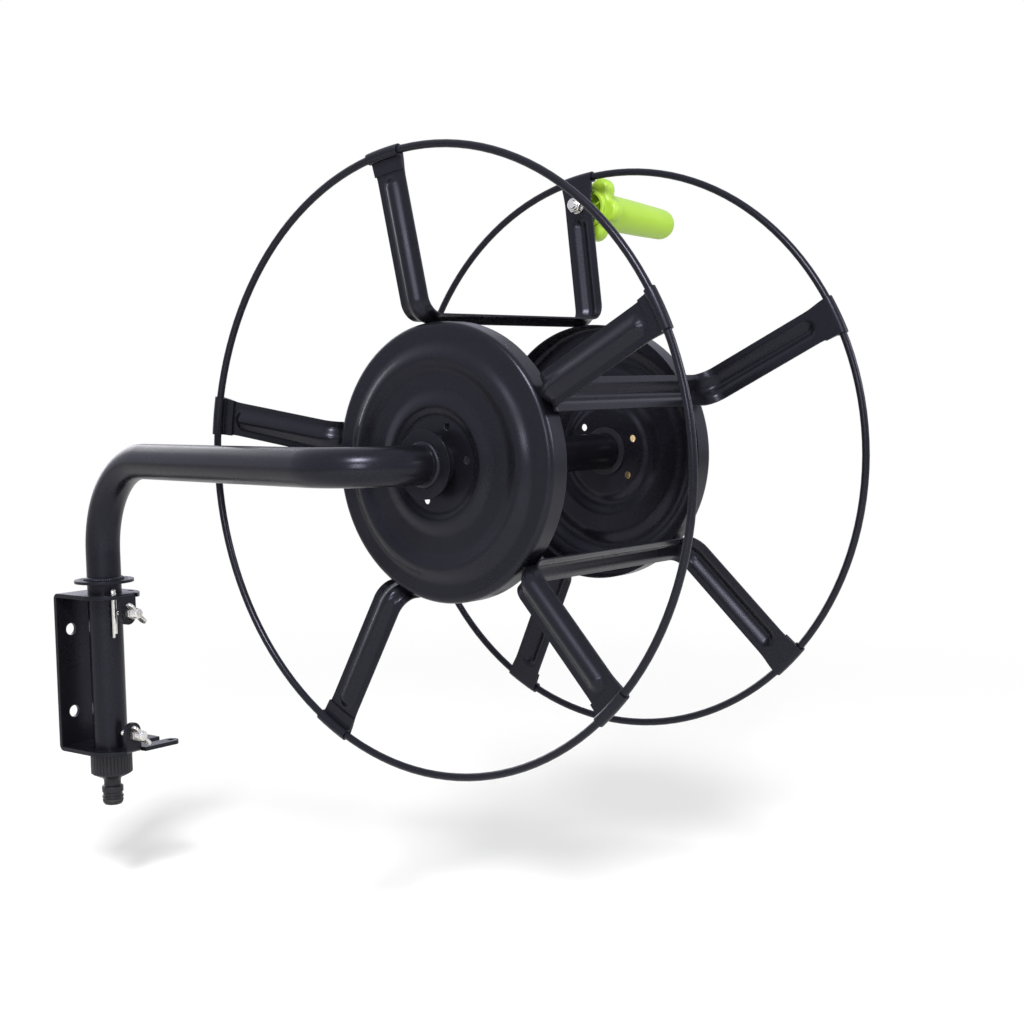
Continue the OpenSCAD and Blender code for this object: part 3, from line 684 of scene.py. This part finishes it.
@dataclass(frozen=True)
class ReelPlan:
    """Main sizes that several pieces share, as in the part's source."""

    post_off: float = 32 * MM
    reach: float = 326.8 * MM
    axle_h: float = 160 * MM
    wheel_off: float = 4 * MM
    rim_gap: float = 204.4 * MM
    rim_r: float = 197.5 * MM
    tube_r: float = 12.7 * MM
    phase_deg: float = 81.3
    lean_deg: float = 4.0
    strip_t: float = 1.2 * MM
    leg_foot_x: float = 9.6797 * MM
    leg_foot_r: float = 104.8029 * MM
    handle_r: float = 178.5 * MM
    spokes: int = 5

    @property
    def axle_y(self) -> float:
        """The axle's distance from the wall, as Y."""
        return -(self.post_off + self.reach)

    def post(self, height: float) -> Matrix:
        """Frame on the post's axis at a height."""
        return Matrix.Translation((0, -self.post_off, height))

    def axle(self, x: float) -> Matrix:
        """Frame on the axle, with local Z along +X."""
        return Matrix.Translation((x, self.axle_y, self.axle_h)) @ turn(90, "Y")

    def spoke(self, index: int) -> Matrix:
        """Frame of a strip: X along the axle from the near rim, Z outwards along the spoke."""
        where = Matrix.Translation((self.wheel_off, self.axle_y, self.axle_h))
        return where @ turn(self.phase_deg + 360 / self.spokes * index - 90, "X")

    def screw(self, height: float) -> Matrix:
        """Frame of a clamp screw, with local Z outwards from the post."""
        return self.post(height) @ turn(-84, "Z") @ turn(90, "Y")

    def handle(self) -> Matrix:
        """Finds the handle's foot on the strip's outer face.

        Returns:
            Its frame, with local Z outwards.
        """
        lean = radians(self.lean_deg)
        run = (self.handle_r - self.leg_foot_r) / cos(lean)
        half = self.strip_t / 2
        x = self.rim_gap - self.leg_foot_x + run * sin(lean) + half * cos(lean)
        z = self.leg_foot_r + run * cos(lean) - half * sin(lean)
        return self.spoke(0) @ Matrix.Translation((x, 0, z)) @ turn(90 + self.lean_deg, "Y")


PLAN = ReelPlan()


# Pieces


def hexagon(flats: float, top: float, bottom: float) -> Callable[[float], RadiusAt]:
    """Outline of a hexagon whose corners are turned off at both ends.

    Args:
        flats: Width across the flats.
        top: Height of the upper end.
        bottom: Height of the lower end.

    Returns:
        A function that gives, for a height, the radius at each angle.
    """

    face_share, cone_slope = 0.97, 1.9

    def at(height: float) -> RadiusAt:
        """Radius at each angle, at this height."""
        inside = min(top - height, height - bottom)

        def radius(angle: float) -> float:
            """Radius at one angle."""
            off = (angle + pi / 6) % (pi / 3) - pi / 6
            cone = flats / 2 * face_share + max(inside, 0.0) * cone_slope
            return min(flats / 2 / cos(off), cone)

        return radius

    return at


@dataclass
class HexNut:
    """Hexagon nut with turned corners and an open bore."""

    flats: float
    height: float
    bore_r: float
    collar_r: float = 0.0
    collar_h: float = 0.0
    collar_soft: float = 0.7 * MM
    chamfer: float = 0.35 * MM
    steps: int = 96

    def mesh(self, bottom: float) -> Part:
        """Skins the nut.

        Args:
            bottom: Height of the nut's lower face.

        Returns:
            Points and faces about the local Z axis.
        """
        hex_h = self.height - self.collar_h
        top = bottom + hex_h
        outline = hexagon(self.flats, top, bottom)
        turned_in = 0.12 * self.flats
        heights = [bottom + turned_in * k / 5 for k in range(6)]
        heights += [top - turned_in * (1 - k / 5) for k in range(6)]
        rings = [Ring(bottom, self.bore_r + self.chamfer)] + [Ring(h, outline(h)) for h in heights]
        if self.collar_h:
            end, soft = top + self.collar_h, self.collar_soft
            rings.append(Ring(top, self.collar_r))
            rings += bend_rings(end - soft, self.collar_r - soft, soft, 0, pi / 2, 5)
            rings.append(Ring(end, self.bore_r + 0.25 * MM))
            rings.append(Ring(end - 0.8 * MM, self.bore_r))
        else:
            rings.append(Ring(top, self.bore_r + self.chamfer))
            rings.append(Ring(top - self.chamfer, self.bore_r))
        rings.append(Ring(bottom + self.chamfer, self.bore_r))
        return turned(rings, self.steps, closed=True)


@dataclass
class ClampSet:
    """Wing screws and lock nuts that clamp the post in the bracket."""

    palette: Palette
    shank_r: float = 2.5 * MM
    pitch: float = 0.8 * MM
    thread_h: float = 0.42 * MM
    tip_at: float = 13.0 * MM
    nut_at: float = 24.74 * MM
    nut_h: float = 3.96 * MM
    nut_flats: float = 8 * MM
    head_at: float = 29.0 * MM
    head_len: float = 7 * MM
    head_r: float = 4.5 * MM
    head_taper: float = 0.75 * MM
    head_soft: float = 1.0 * MM
    wing_reach: float = 11.5 * MM
    wing_w: float = 6.5 * MM
    wing_t: float = 2.2 * MM
    wing_turn_deg: float = 45.0
    tip_r: float = 1.4 * MM
    tip_drop: float = 0.7 * MM
    run_in: float = 1.2 * MM
    crest_in: float = 0.03 * MM
    cast_grain: float = 0.32 * MM
    cast_passes: int = 5
    height: float = 46 * MM

    def thread(self) -> Part:
        """Skins the threaded shank, from its rounded tip into the head.

        Returns:
            Points and faces about the screw's axis.
        """
        steps, per_turn = 40, 10
        start, end = self.tip_at, self.head_at + 1 * MM
        rings = [Ring(start, self.tip_r)]
        count = int((end - start) / self.pitch * per_turn)
        for i in range(1, count + 1):
            height = start + (end - start) * i / count
            fade = min(1.0, (height - start) / self.run_in)

            def radius(angle: float, height: float = height, fade: float = fade) -> float:
                """Radius of the thread's flank at one angle."""
                phase = (height / self.pitch - angle / (2 * pi)) % 1.0
                wave = abs(2 * phase - 1)
                crest = self.shank_r - self.crest_in - (1 - fade) * self.tip_drop
                return crest - self.thread_h * (1 - min(1.0, wave * 1.25))

            rings.append(Ring(height, radius))
        return turned(rings, steps)

    def head(self, name: str, place: Matrix) -> Piece:
        """Casts the head with its two wings.

        Args:
            name: Name of the piece.
            place: The screw's frame.

        Returns:
            The head.
        """
        soft, top = self.head_soft, self.head_at + self.head_len
        wide = self.head_r - soft
        rings = bend_rings(self.head_at + soft, wide, soft, -pi / 2, 0, 6)
        rings += bend_rings(top - soft, wide - self.head_taper, soft, 0, pi / 2, 6)
        parts = [turned(rings, 40)]
        for side in (0, 180):
            parts.append(moved(self.wing(), turn(self.wing_turn_deg + side, "Z")))
        rough = object_from(name, joined(parts), place)
        return cast_from(rough, self.cast_grain, self.cast_passes)

    def wing(self) -> Part:
        """Skins one wing, a flat blade with a round end.

        Returns:
            Points and faces, with the blade along local X.
        """
        half, tip_r = self.wing_t / 2, self.wing_w / 2
        low = self.head_at + 0.6 * MM
        mid = low + tip_r
        end = self.wing_reach - tip_r
        outline = [(1.0 * MM, low + 0.9 * MM), (end * 0.6, low + 0.35 * MM)]
        angles = [-pi / 2 + pi * k / 14 for k in range(15)]
        outline += [(end + tip_r * cos(a), mid + tip_r * sin(a)) for a in angles]
        outline += [(end * 0.55, low + self.wing_w * 0.92), (1.0 * MM, low + self.wing_w * 0.74)]
        points = [Vector((x, s * half, z)) for s in (-1, 1) for x, z in outline]
        return points, loop_faces(2, len(outline))

    def build(self) -> list[Piece]:
        """Makes both screws and both nuts.

        Returns:
            The pieces.
        """
        made = []
        for word, sign, body in (("upper", 1, Body.UPPER_SCREW), ("lower", -1, Body.LOWER_SCREW)):
            place = PLAN.screw(sign * self.height)
            thread = object_from(f"{word}_screw_thread", self.thread(), place)
            head = self.head(f"{word}_screw_wings", place)
            hexagonal = HexNut(self.nut_flats, self.nut_h, self.shank_r + 0.06 * MM)
            skin = moved(hexagonal.mesh(self.nut_at), turn(30, "Z"))
            nut = object_from(f"{word}_lock_nut", skin, place)
            for piece in (thread, head):
                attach(piece, body.value)
                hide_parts(f"{word}_wing_screw")
            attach(nut, Body.BRACKET.value)
            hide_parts("lock_nuts")
            for piece in (thread, head, nut):
                self.palette.dress(piece, Slot.PLATED)
                made.append(piece)
        return made


@dataclass
class SplitPin:
    """Pin bent from half-round wire: two legs and an eye."""

    palette: Palette
    half_w: float = 2.304 * MM
    slit: float = 0.3 * MM
    axis_r: float = 17.1 * MM
    angle_deg: float = -105.3
    face_deg: float = -49.0
    top: float = 60 * MM
    long_leg: float = 32.4 * MM
    short_by: float = 3 * MM
    eye_z: float = 62.439 * MM
    eye_r: float = 3.45 * MM
    eye_gap_deg: float = 24.0
    neck: float = 0.2 * MM
    wire: float = 2.1 * MM

    def path(self) -> list[Vector]:
        """Finds the route of the wire's flat side.

        Returns:
            Points from one leg's end over the eye to the other's.
        """
        side = self.slit / 2
        ring = self.eye_r - self.wire
        gap = radians(self.eye_gap_deg)
        neck, low = self.top + self.neck, self.top - self.long_leg
        route = [Vector((side, 0, low + (neck - low) * k / 12)) for k in range(13)]
        for k in range(33):
            a = -pi / 2 + gap + (2 * pi - 2 * gap) * k / 32
            route.append(Vector((ring * cos(a), 0, self.eye_z + ring * sin(a))))
        end = low + self.short_by
        route += [Vector((-side, 0, neck + (end - neck) * k / 12)) for k in range(13)]
        return route

    def build(self) -> list[Piece]:
        """Makes the pin.

        Returns:
            The pin alone.
        """
        steps = 14
        angles = [-pi / 2 + pi * k / steps for k in range(steps + 1)]
        section = [Vector((self.wire * cos(a), self.half_w * sin(a), 0)) for a in angles]
        place = PLAN.post(0) @ turn(self.angle_deg, "Z") @ Matrix.Translation((self.axis_r, 0, 0))
        place = place @ turn(self.face_deg - self.angle_deg, "Z")
        wire = swept(self.path(), section, Vector((0, 1, 0)))
        pin = object_from("split_pin_wire", wire, place)
        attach(pin, Body.PIN.value)
        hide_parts("split_pin")
        self.palette.dress(pin, Slot.PLATED)
        return [pin]


@dataclass
class CrankHandle:
    """Green five-lobed knob with its tapered grip, and the plated fixings that hold it."""

    palette: Palette
    back: float = 11.2 * MM
    foot: float = 1.5 * MM
    ring_r: float = 13.6 * MM
    ring_len: float = 2.2 * MM
    recess_r: float = 10.8 * MM
    recess_d: float = 11 * MM
    sleeve_r: float = 5.2 * MM
    bore_r: float = 3.08 * MM
    bore_len: float = 60 * MM
    chamfer: float = 0.5 * MM
    knob_t: float = 11.1 * MM
    knob_r: float = 23.5 * MM
    lobe_r: float = 8.5 * MM
    core_r: float = 18 * MM
    valley: float = 1.1 * MM
    lobes: int = 5
    edge: float = 3.5 * MM
    grip_r0: float = 13 * MM
    grip_r1: float = 11.5 * MM
    fillet: float = 1.6 * MM
    belly: float = 0.35 * MM
    length: float = 113 * MM
    ribs: int = 6
    rib_turn_deg: float = 12.0
    bolt_r: float = 3.0 * MM
    nut_flats: float = 10 * MM
    nut_h: float = 5.8 * MM
    nut_collar_r: float = 4.5 * MM
    nut_collar_h: float = 1.7 * MM
    nut_at: float = 2.48 * MM

    def lobe(self, inset: float) -> RadiusAt:
        """Outline of the knob, drawn in by an inset.

        Args:
            inset: How far the outline lies inside the full one.

        Returns:
            Radius at each angle.
        """
        centre = self.knob_r - self.lobe_r
        step = 2 * pi / self.lobes
        own = self.lobe_r - inset
        core = self.core_r - inset

        def radius(angle: float) -> float:
            """Radius at one angle, with soft valleys between lobes."""
            off = (angle + step / 2) % step - step / 2
            under = own * own - (centre * sin(off)) ** 2
            lobe = centre * cos(off) + sqrt(under) if under > 0 else 0.0
            share = max(0.0, min(1.0, 0.5 + (lobe - core) / (2 * self.valley)))
            return core + (lobe - core) * share + self.valley * share * (1 - share)

        return radius

    def rings(self) -> list[Ring]:
        """Finds the rings of the moulding.

        Returns:
            The rings from the bore's end over recess and knob to the grip's tip.
        """
        floor, ease, lip = self.back + self.recess_d, self.chamfer, 0.8 * MM
        rings = [Ring(floor + self.bore_len, self.bore_r), Ring(self.foot + 0.4 * MM, self.bore_r)]
        rings.append(Ring(self.foot, self.bore_r + 0.4 * MM))
        rings.append(Ring(self.foot, self.sleeve_r - 0.3 * MM))
        rings += [Ring(self.foot + 0.3 * MM, self.sleeve_r), Ring(floor - ease, self.sleeve_r)]
        rings += [Ring(floor, self.sleeve_r + ease), Ring(floor, self.recess_r - ease)]
        rings.append(Ring(floor - ease, self.recess_r))
        inner = self.recess_r + ease
        rings += bend_rings(self.back + ease, inner, ease, pi, 1.5 * pi, 4)
        rings += bend_rings(self.back + lip, self.ring_r - lip, lip, -pi / 2, 0, 5)
        knob = self.back + self.ring_len
        rings += [Ring(knob - 0.7 * MM, self.ring_r), Ring(knob - 0.2 * MM, self.ring_r + 0.2 * MM)]
        rings.append(Ring(knob, self.ring_r + 0.7 * MM))
        rings.append(Ring(knob, self.lobe(self.edge + 1.5 * MM)))
        quarter = [pi / 2 * k / 8 for k in range(9)]
        for a in quarter:
            outline = self.lobe(self.edge * (1 - sin(a)))
            rings.append(Ring(knob + self.edge * (1 - cos(a)), outline))
        top = knob + self.knob_t
        for a in quarter:
            outline = self.lobe(self.edge * (1 - cos(a)))
            rings.append(Ring(top - self.edge + self.edge * sin(a), outline))
        soft = self.fillet
        rings += bend_rings(top + soft, self.grip_r0 + soft, soft, -pi / 2, -pi, 5)
        end = self.length - self.grip_r1
        run = end - top - soft
        for k in range(1, 13):
            share = k / 12
            belly = self.belly * sin(pi * share)
            radius = self.grip_r0 + (self.grip_r1 - self.grip_r0) * share + belly
            rings.append(Ring(top + soft + run * share, radius))
        return rings + bend_rings(end, 0.0, self.grip_r1, 0, pi / 2, 12)[1:-1]

    def inner_rib(self, index: int) -> Part:
        """Skins one thin rib between sleeve and ring, with a bevelled free edge.

        Args:
            index: Number of the rib.

        Returns:
            Points and faces in the handle's frame.
        """
        half, low = 0.65 * MM, self.back + 2.0 * MM
        high = self.back + self.recess_d + 0.4 * MM
        near, far = self.sleeve_r - 0.3 * MM, self.recess_r + 0.4 * MM
        left = [(-half, high), (-half, low + 0.4 * MM), (-half * 0.6, low)]
        outline = left + [(-y, z) for y, z in reversed(left)]
        points = [Vector((x, y, z)) for x in (near, far) for y, z in outline]
        about = turn(360 / self.ribs * index + self.rib_turn_deg, "Z")
        return moved((points, loop_faces(2, len(outline))), about)

    def build(self) -> list[Piece]:
        """Makes the moulding and the nut.

        Returns:
            Grip, ribs and nut.
        """
        place = PLAN.handle()
        grip = object_from("crank_grip", turned(self.rings(), 160), place)
        thin = joined([self.inner_rib(k) for k in range(self.ribs)])
        ribs = object_from("crank_grip_ribs", thin, place)
        for piece in (grip, ribs):
            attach(piece, Body.HANDLE.value)
            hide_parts("handle_grip")
            self.palette.dress(piece, Slot.GREEN)
        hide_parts("handle_cap")
        flip = place @ Matrix.Translation((0, 0, -self.nut_at)) @ turn(180, "X")
        sizes = (self.nut_flats, self.nut_h, self.bolt_r + 0.04 * MM)
        collared = HexNut(*sizes, self.nut_collar_r, self.nut_collar_h)
        nut = object_from("crank_lock_nut", collared.mesh(0.0), flip)
        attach(nut, Body.REEL.value)
        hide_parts("handle_nut")
        self.palette.dress(nut, Slot.PLATED)
        return [grip, ribs, nut]


@dataclass
class Station:
    """One cross line of a pressed strip, in the plane of axle and spoke."""

    x: float
    z: float
    heading: float
    half_w: float
    past_rib: float
    curl: float


@dataclass
class PressedStrips:
    """Five strips, each one sheet: hem, roll, leg, slat, leg, roll, hem, with a soft rib."""

    palette: Palette
    sheet_w: float = 23 * MM
    tab_w: float = 26 * MM
    flare_len: float = 18 * MM
    rib_w: float = 15.4 * MM
    rib_h: float = 3.5 * MM
    rib_end: float = 72.0 * MM
    rib_end_handle: float = 58.5 * MM
    bend_r: float = 12 * MM
    roll_r: float = 3.14 * MM
    hem_bend_r: float = 0.85 * MM
    hem_len: float = 7.9 * MM
    hem_gap: float = 0.02 * MM
    bore_r: float = 3.02 * MM
    bore_half: float = 5 * MM
    columns: int = 41

    def half(self, rib_end: float) -> list[Station]:
        """Walks from the slat's middle over one leg to the end of its hem.

        Args:
            rib_end: Where the rib's rounded end begins, along the leg.

        Returns:
            The cross lines in order.
        """
        lean = radians(PLAN.lean_deg)
        leg = (PLAN.rim_r + self.roll_r * sin(lean) - PLAN.leg_foot_r) / cos(lean)
        bend_x = PLAN.leg_foot_x + self.bend_r * cos(lean)
        slat_z = PLAN.leg_foot_r + self.bend_r * sin(lean) - self.bend_r
        inner = self.roll_r - PLAN.strip_t - self.hem_gap
        before, rolled = -1.0, -2.0
        x, z, heading = PLAN.rim_gap / 2, slat_z, pi
        made = [Station(x, z, heading, self.sheet_w / 2, before, 0.0)]

        def walk(length: float, steps: int, bend: float = 0.0, leg_at: float = before) -> None:
            """Walks straight on or round a bend, and notes the cross lines.

            Args:
                length: Length of the walk.
                steps: Cross lines to note.
                bend: Angle of the bend in radians, to the left where positive.
                leg_at: Place on the leg at the start, or before or rolled.
            """
            nonlocal x, z, heading
            flare = self.flare_len - self.hem_len / 2
            for k in range(steps):
                heading += bend / steps / 2
                x += length / steps * cos(heading)
                z += length / steps * sin(heading)
                heading += bend / steps / 2
                at = leg_at + length * (k + 1) / steps if leg_at >= 0 else leg_at
                share = max(0.0, min(1.0, (at - leg + self.flare_len) / flare))
                share = 1.0 if leg_at == rolled else share * share * (3 - 2 * share)
                half_w = (self.sheet_w + (self.tab_w - self.sheet_w) * share) / 2
                past = 1.0 if leg_at == rolled else at - rib_end
                made.append(Station(x, z, heading, half_w, past, share))

        walk(PLAN.rim_gap / 2 - bend_x, 1)
        walk(self.bend_r * (pi / 2 - lean), 24, lean - pi / 2)
        walk(rib_end, 1, leg_at=0.0)
        walk(leg - rib_end, 48, leg_at=rib_end)
        walk(self.roll_r * 1.5 * pi, 40, 1.5 * pi, rolled)
        walk(inner - self.hem_bend_r, 1, leg_at=rolled)
        walk(self.hem_bend_r * pi / 2, 8, -pi / 2, rolled)
        walk(self.hem_len, 8, leg_at=rolled)
        return made

    def loop(self, line: Station) -> list[Vector]:
        """Gives the closed loop of the sheet's section at one cross line.

        Args:
            line: The cross line.

        Returns:
            Points of the outer face and back along the inner face, in the spoke's frame.
        """
        up = (-sin(line.heading), cos(line.heading))
        half_t = PLAN.strip_t / 2
        rows: tuple[list[Vector], list[Vector]] = ([], [])
        for k in range(self.columns):
            across = line.half_w * (2 * k / (self.columns - 1) - 1)
            far = hypot(across, max(0.0, line.past_rib))
            rise = slope = 0.0
            if far < self.rib_w / 2:
                phase = 2 * pi * far / self.rib_w
                steep = -pi * self.rib_h / self.rib_w * sin(phase)
                rise = self.rib_h * (1 + cos(phase)) / 2
                slope = steep * across / far if far else 0.0
            lay = 1 / hypot(1, slope)
            for row, side in zip(rows, (half_t, -half_t)):
                off = rise + side * lay
                y = across - side * lay * slope
                x, z = line.x + up[0] * off, line.z + up[1] * off
                bow = y / PLAN.rim_r
                y += (z * sin(bow) - y) * line.curl
                z += z * (cos(bow) - 1) * line.curl
                row.append(Vector((x, y, z)))
        return rows[0] + rows[1][::-1]

    def build(self) -> list[Piece]:
        """Makes the strips.

        Returns:
            The strips.
        """
        made = []
        for index in range(PLAN.spokes):
            near = self.half(self.rib_end)
            far = self.half(self.rib_end_handle if index == 0 else self.rib_end)
            loops = [self.loop(line) for line in near[:0:-1]]
            for line in far:
                loops.append([Vector((PLAN.rim_gap - p.x, p.y, p.z)) for p in self.loop(line)])
            skin = ([p for loop in loops for p in loop], loop_faces(len(loops), 2 * self.columns))
            strip = object_from(f"pressed_strip_{index + 1}", skin, PLAN.spoke(index))
            if index == 0:
                ends = [Ring(side * self.bore_half, self.bore_r) for side in (-1, 1)]
                bore(strip, object_from("bolt_hole", turned(ends, 48), PLAN.handle()))
            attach(strip, Body.REEL.value)
            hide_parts(f"spoke_strip_{index + 1}")
            self.palette.dress(strip, Slot.POWDER)
            made.append(strip)
        return made


@dataclass
class Welds:
    """Rippled weld beads at the collars, spot welds on the drum and stake marks on the rolls."""

    palette: Palette
    bead_leg: float = 2.25 * MM
    ripple: float = 0.16 * MM
    ripples: int = 52
    uneven: float = 0.12 * MM
    post_z: float = 70.2 * MM
    hub_x: float = 0.1 * MM
    spot_r: float = 1.7 * MM
    spot_h: float = 0.35 * MM
    spot_in: float = 22.5 * MM
    spot_z: float = 90.74 * MM
    stake_r: float = 1.2 * MM
    stake_h: float = 0.245 * MM
    stake_out: float = 3.72 * MM

    def bead(self, name: str, place: Matrix) -> Piece:
        """Skins one bead round a tube, rising along local Z.

        Args:
            name: Name of the piece.
            place: Frame on the tube's axis at the collar's face.

        Returns:
            The bead.
        """
        rings = []
        low = PLAN.tube_r - 0.1 * MM
        steps = 9
        for k in range(steps + 1):
            a = pi / 2 * k / steps

            def radius(angle: float, a: float = a) -> float:
                """Distance of the rippled face from the tube's axis."""
                wave = sin(self.ripples * angle + 1.3 * sin(3 * angle))
                slow = self.uneven * sin(5 * angle + 0.7)
                return PLAN.tube_r + (self.bead_leg + self.ripple * wave + slow) * cos(a)

            rings.append(Ring(self.bead_leg * sin(a), radius))
        rings.append(Ring(self.bead_leg, low))
        rings.append(Ring(0.0, low))
        return object_from(name, turned(rings, 8 * self.ripples, closed=True), place)

    def dots(self, radius: float, height: float, ends: Sequence[Matrix]) -> Part:
        """Skins low dots with a dished middle, the same on every strip.

        Args:
            radius: Radius of a dot.
            height: Height of its rim.
            ends: Where they stand in a strip's frame, on local Z.

        Returns:
            Points and faces of all.
        """
        rim = ((1.0, -0.3), (0.97, 0.35), (0.82, 0.85), (0.62, 1.0))
        profile = (*rim, (0.42, 0.75), (0.2, 0.45))
        dot = turned([Ring(height * h, radius * r) for r, h in profile], 28)
        places = [PLAN.spoke(index) @ end for index in range(PLAN.spokes) for end in ends]
        return joined([moved(dot, place) for place in places])

    def build(self) -> list[Piece]:
        """Makes the beads and the dots.

        Returns:
            The pieces.
        """
        post = self.bead("post_collar_bead", PLAN.post(self.post_z))
        hub = self.bead("hub_collar_bead", PLAN.axle(self.hub_x) @ turn(180, "X"))
        channels = (self.spot_in, PLAN.rim_gap - self.spot_in)
        ends = [Matrix.Translation((x, 0, self.spot_z)) for x in channels]
        dots = self.dots(self.spot_r, self.spot_h, ends)
        spots = object_from("drum_spot_welds", dots, Matrix.Identity(4))
        rolls = ((-self.stake_out, -90), (PLAN.rim_gap + self.stake_out, 90))
        ends = [Matrix.Translation((x, 0, PLAN.rim_r)) @ turn(side, "Y") for x, side in rolls]
        dots = self.dots(self.stake_r, self.stake_h, ends)
        stakes = object_from("rim_stake_marks", dots, Matrix.Identity(4))
        for body, pieces in {Body.ARM: (post, hub), Body.REEL: (spots, stakes)}.items():
            for piece in pieces:
                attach(piece, body.value)
                self.palette.dress(piece, Slot.POWDER)
        return [post, hub, spots, stakes]


@dataclass
class FrameNodes:
    """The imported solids, with their finishes and smooth faces."""

    palette: Palette

    def build(self) -> list[Piece]:
        """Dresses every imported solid.

        Returns:
            The solids.
        """
        slots = {row["node"]: Slot(row["material_slot"]) for row in frame["record"]["subparts"]}
        for name, node in frame["nodes"].items():
            round_faces(node.data)
            self.palette.dress(node, slots[name])
        return list(frame["nodes"].values())


# Studio


@dataclass
class Studio:
    """Pale floor, white surround, soft lamps and the photograph's camera."""

    floor_z: float = -0.17
    floor_half: float = 12.0
    focal_px: float = 1664.65
    image_px: float = 1024.0
    camera_at: tuple[float, float, float] = (-0.77087, -1.05876, 0.20666)
    camera_turn_deg: tuple[float, float, float] = (85.7316, 1.3251, -50.8840)
    surround: float = 0.5
    white: Colour = (1.0, 1.0, 1.0)
    mirrored: Colour = (0.86, 0.86, 1.0)
    sensor_mm: float = 36.0
    clip: tuple[float, float] = (0.05, 60.0)

    def build_floor(self) -> None:
        """Makes the floor."""
        far, signs = self.floor_half, ((-1, -1), (1, -1), (1, 1), (-1, 1))
        corners = [Vector((x * far, y * far, self.floor_z)) for x, y in signs]
        floor = object_from("studio_floor", (corners, [(0, 1, 2, 3)]), Matrix.Identity(4))
        floor.data.materials.append(StudioFloor().build())

    def build_world(self) -> None:
        """Makes the surround: white where seen, cool white where mirrored, softer as light."""
        world = bpy.data.worlds.new("studio")
        bpy.context.scene.world = world
        world.use_nodes = True
        tree = world.node_tree
        tree.nodes.clear()
        path = tree.nodes.new("ShaderNodeLightPath")
        top = tree.nodes.new("ShaderNodeBackground").outputs[0]
        top.node.inputs["Color"].default_value = (1, 1, 1, 1)
        top.node.inputs["Strength"].default_value = self.surround
        kinds = {
            "Is Glossy Ray": self.mirrored,
            "Is Transmission Ray": self.white,
            "Is Camera Ray": self.white,
        }
        for kind, colour in kinds.items():
            shown = tree.nodes.new("ShaderNodeBackground")
            shown.inputs["Color"].default_value = (*colour, 1)
            mix = tree.nodes.new("ShaderNodeMixShader")
            tree.links.new(path.outputs[kind], mix.inputs[0])
            tree.links.new(top, mix.inputs[1])
            tree.links.new(shown.outputs[0], mix.inputs[2])
            top = mix.outputs[0]
        out = tree.nodes.new("ShaderNodeOutputWorld")
        tree.links.new(top, out.inputs[0])

    def lamp(self, name: str, where: Vector, target: Vector, size: float, power: float) -> None:
        """Adds one soft lamp.

        Args:
            name: Name of the lamp.
            where: Where it stands.
            target: What it faces.
            size: Side of its panel.
            power: Its power in watts.
        """
        data = bpy.data.lights.new(name, "AREA")
        data.shape, data.size, data.energy = "SQUARE", size, power
        lamp = bpy.data.objects.new(name, data)
        lamp.location = where
        lamp.rotation_euler = (target - where).to_track_quat("-Z", "Y").to_euler()
        bpy.context.scene.collection.objects.link(lamp)

    def build_lamps(self) -> None:
        """Adds the lamps."""
        middle = Vector((0.1, -0.3, 0.15))
        self.lamp("key", Vector((-1.25, -1.1, 1.6)), middle, 0.5, 42.0)
        self.lamp("front", Vector((-1.35, -1.2, 0.55)), middle, 0.35, 7.0)
        self.lamp("fill", Vector((0.9, -2.1, 1.0)), middle, 0.7, 18.0)
        self.lamp("back", Vector((0.7, 1.9, 0.75)), middle, 1.1, 10.0)

    def build_camera(self) -> None:
        """Adds the camera at the photograph's place."""
        data = bpy.data.cameras.new("photograph")
        data.sensor_width = self.sensor_mm
        data.lens = data.sensor_width * self.focal_px / self.image_px
        data.clip_start, data.clip_end = self.clip
        camera = bpy.data.objects.new("photograph", data)
        camera.location = self.camera_at
        camera.rotation_euler = [radians(a) for a in self.camera_turn_deg]
        bpy.context.scene.collection.objects.link(camera)
        bpy.context.scene.camera = camera

    def build(self) -> None:
        """Sets the whole studio up."""
        bpy.context.scene.view_settings.view_transform = "Standard"
        self.build_floor()
        self.build_world()
        self.build_lamps()
        self.build_camera()


def main() -> None:
    """Builds every sub-assembly in order and reports its pieces."""
    logging.basicConfig(level=logging.INFO, format="%(name)s: %(message)s")
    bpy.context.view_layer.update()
    Studio().build()
    palette = Palette()
    for part in (
        FrameNodes(palette),
        PressedStrips(palette),
        ClampSet(palette),
        SplitPin(palette),
        CrankHandle(palette),
        Welds(palette),
    ):
        for piece in part.build():
            LOG.info("%s: %s, %d faces", type(part).__name__, piece.name, len(piece.data.polygons))


if __name__ == "__main__":
    main()
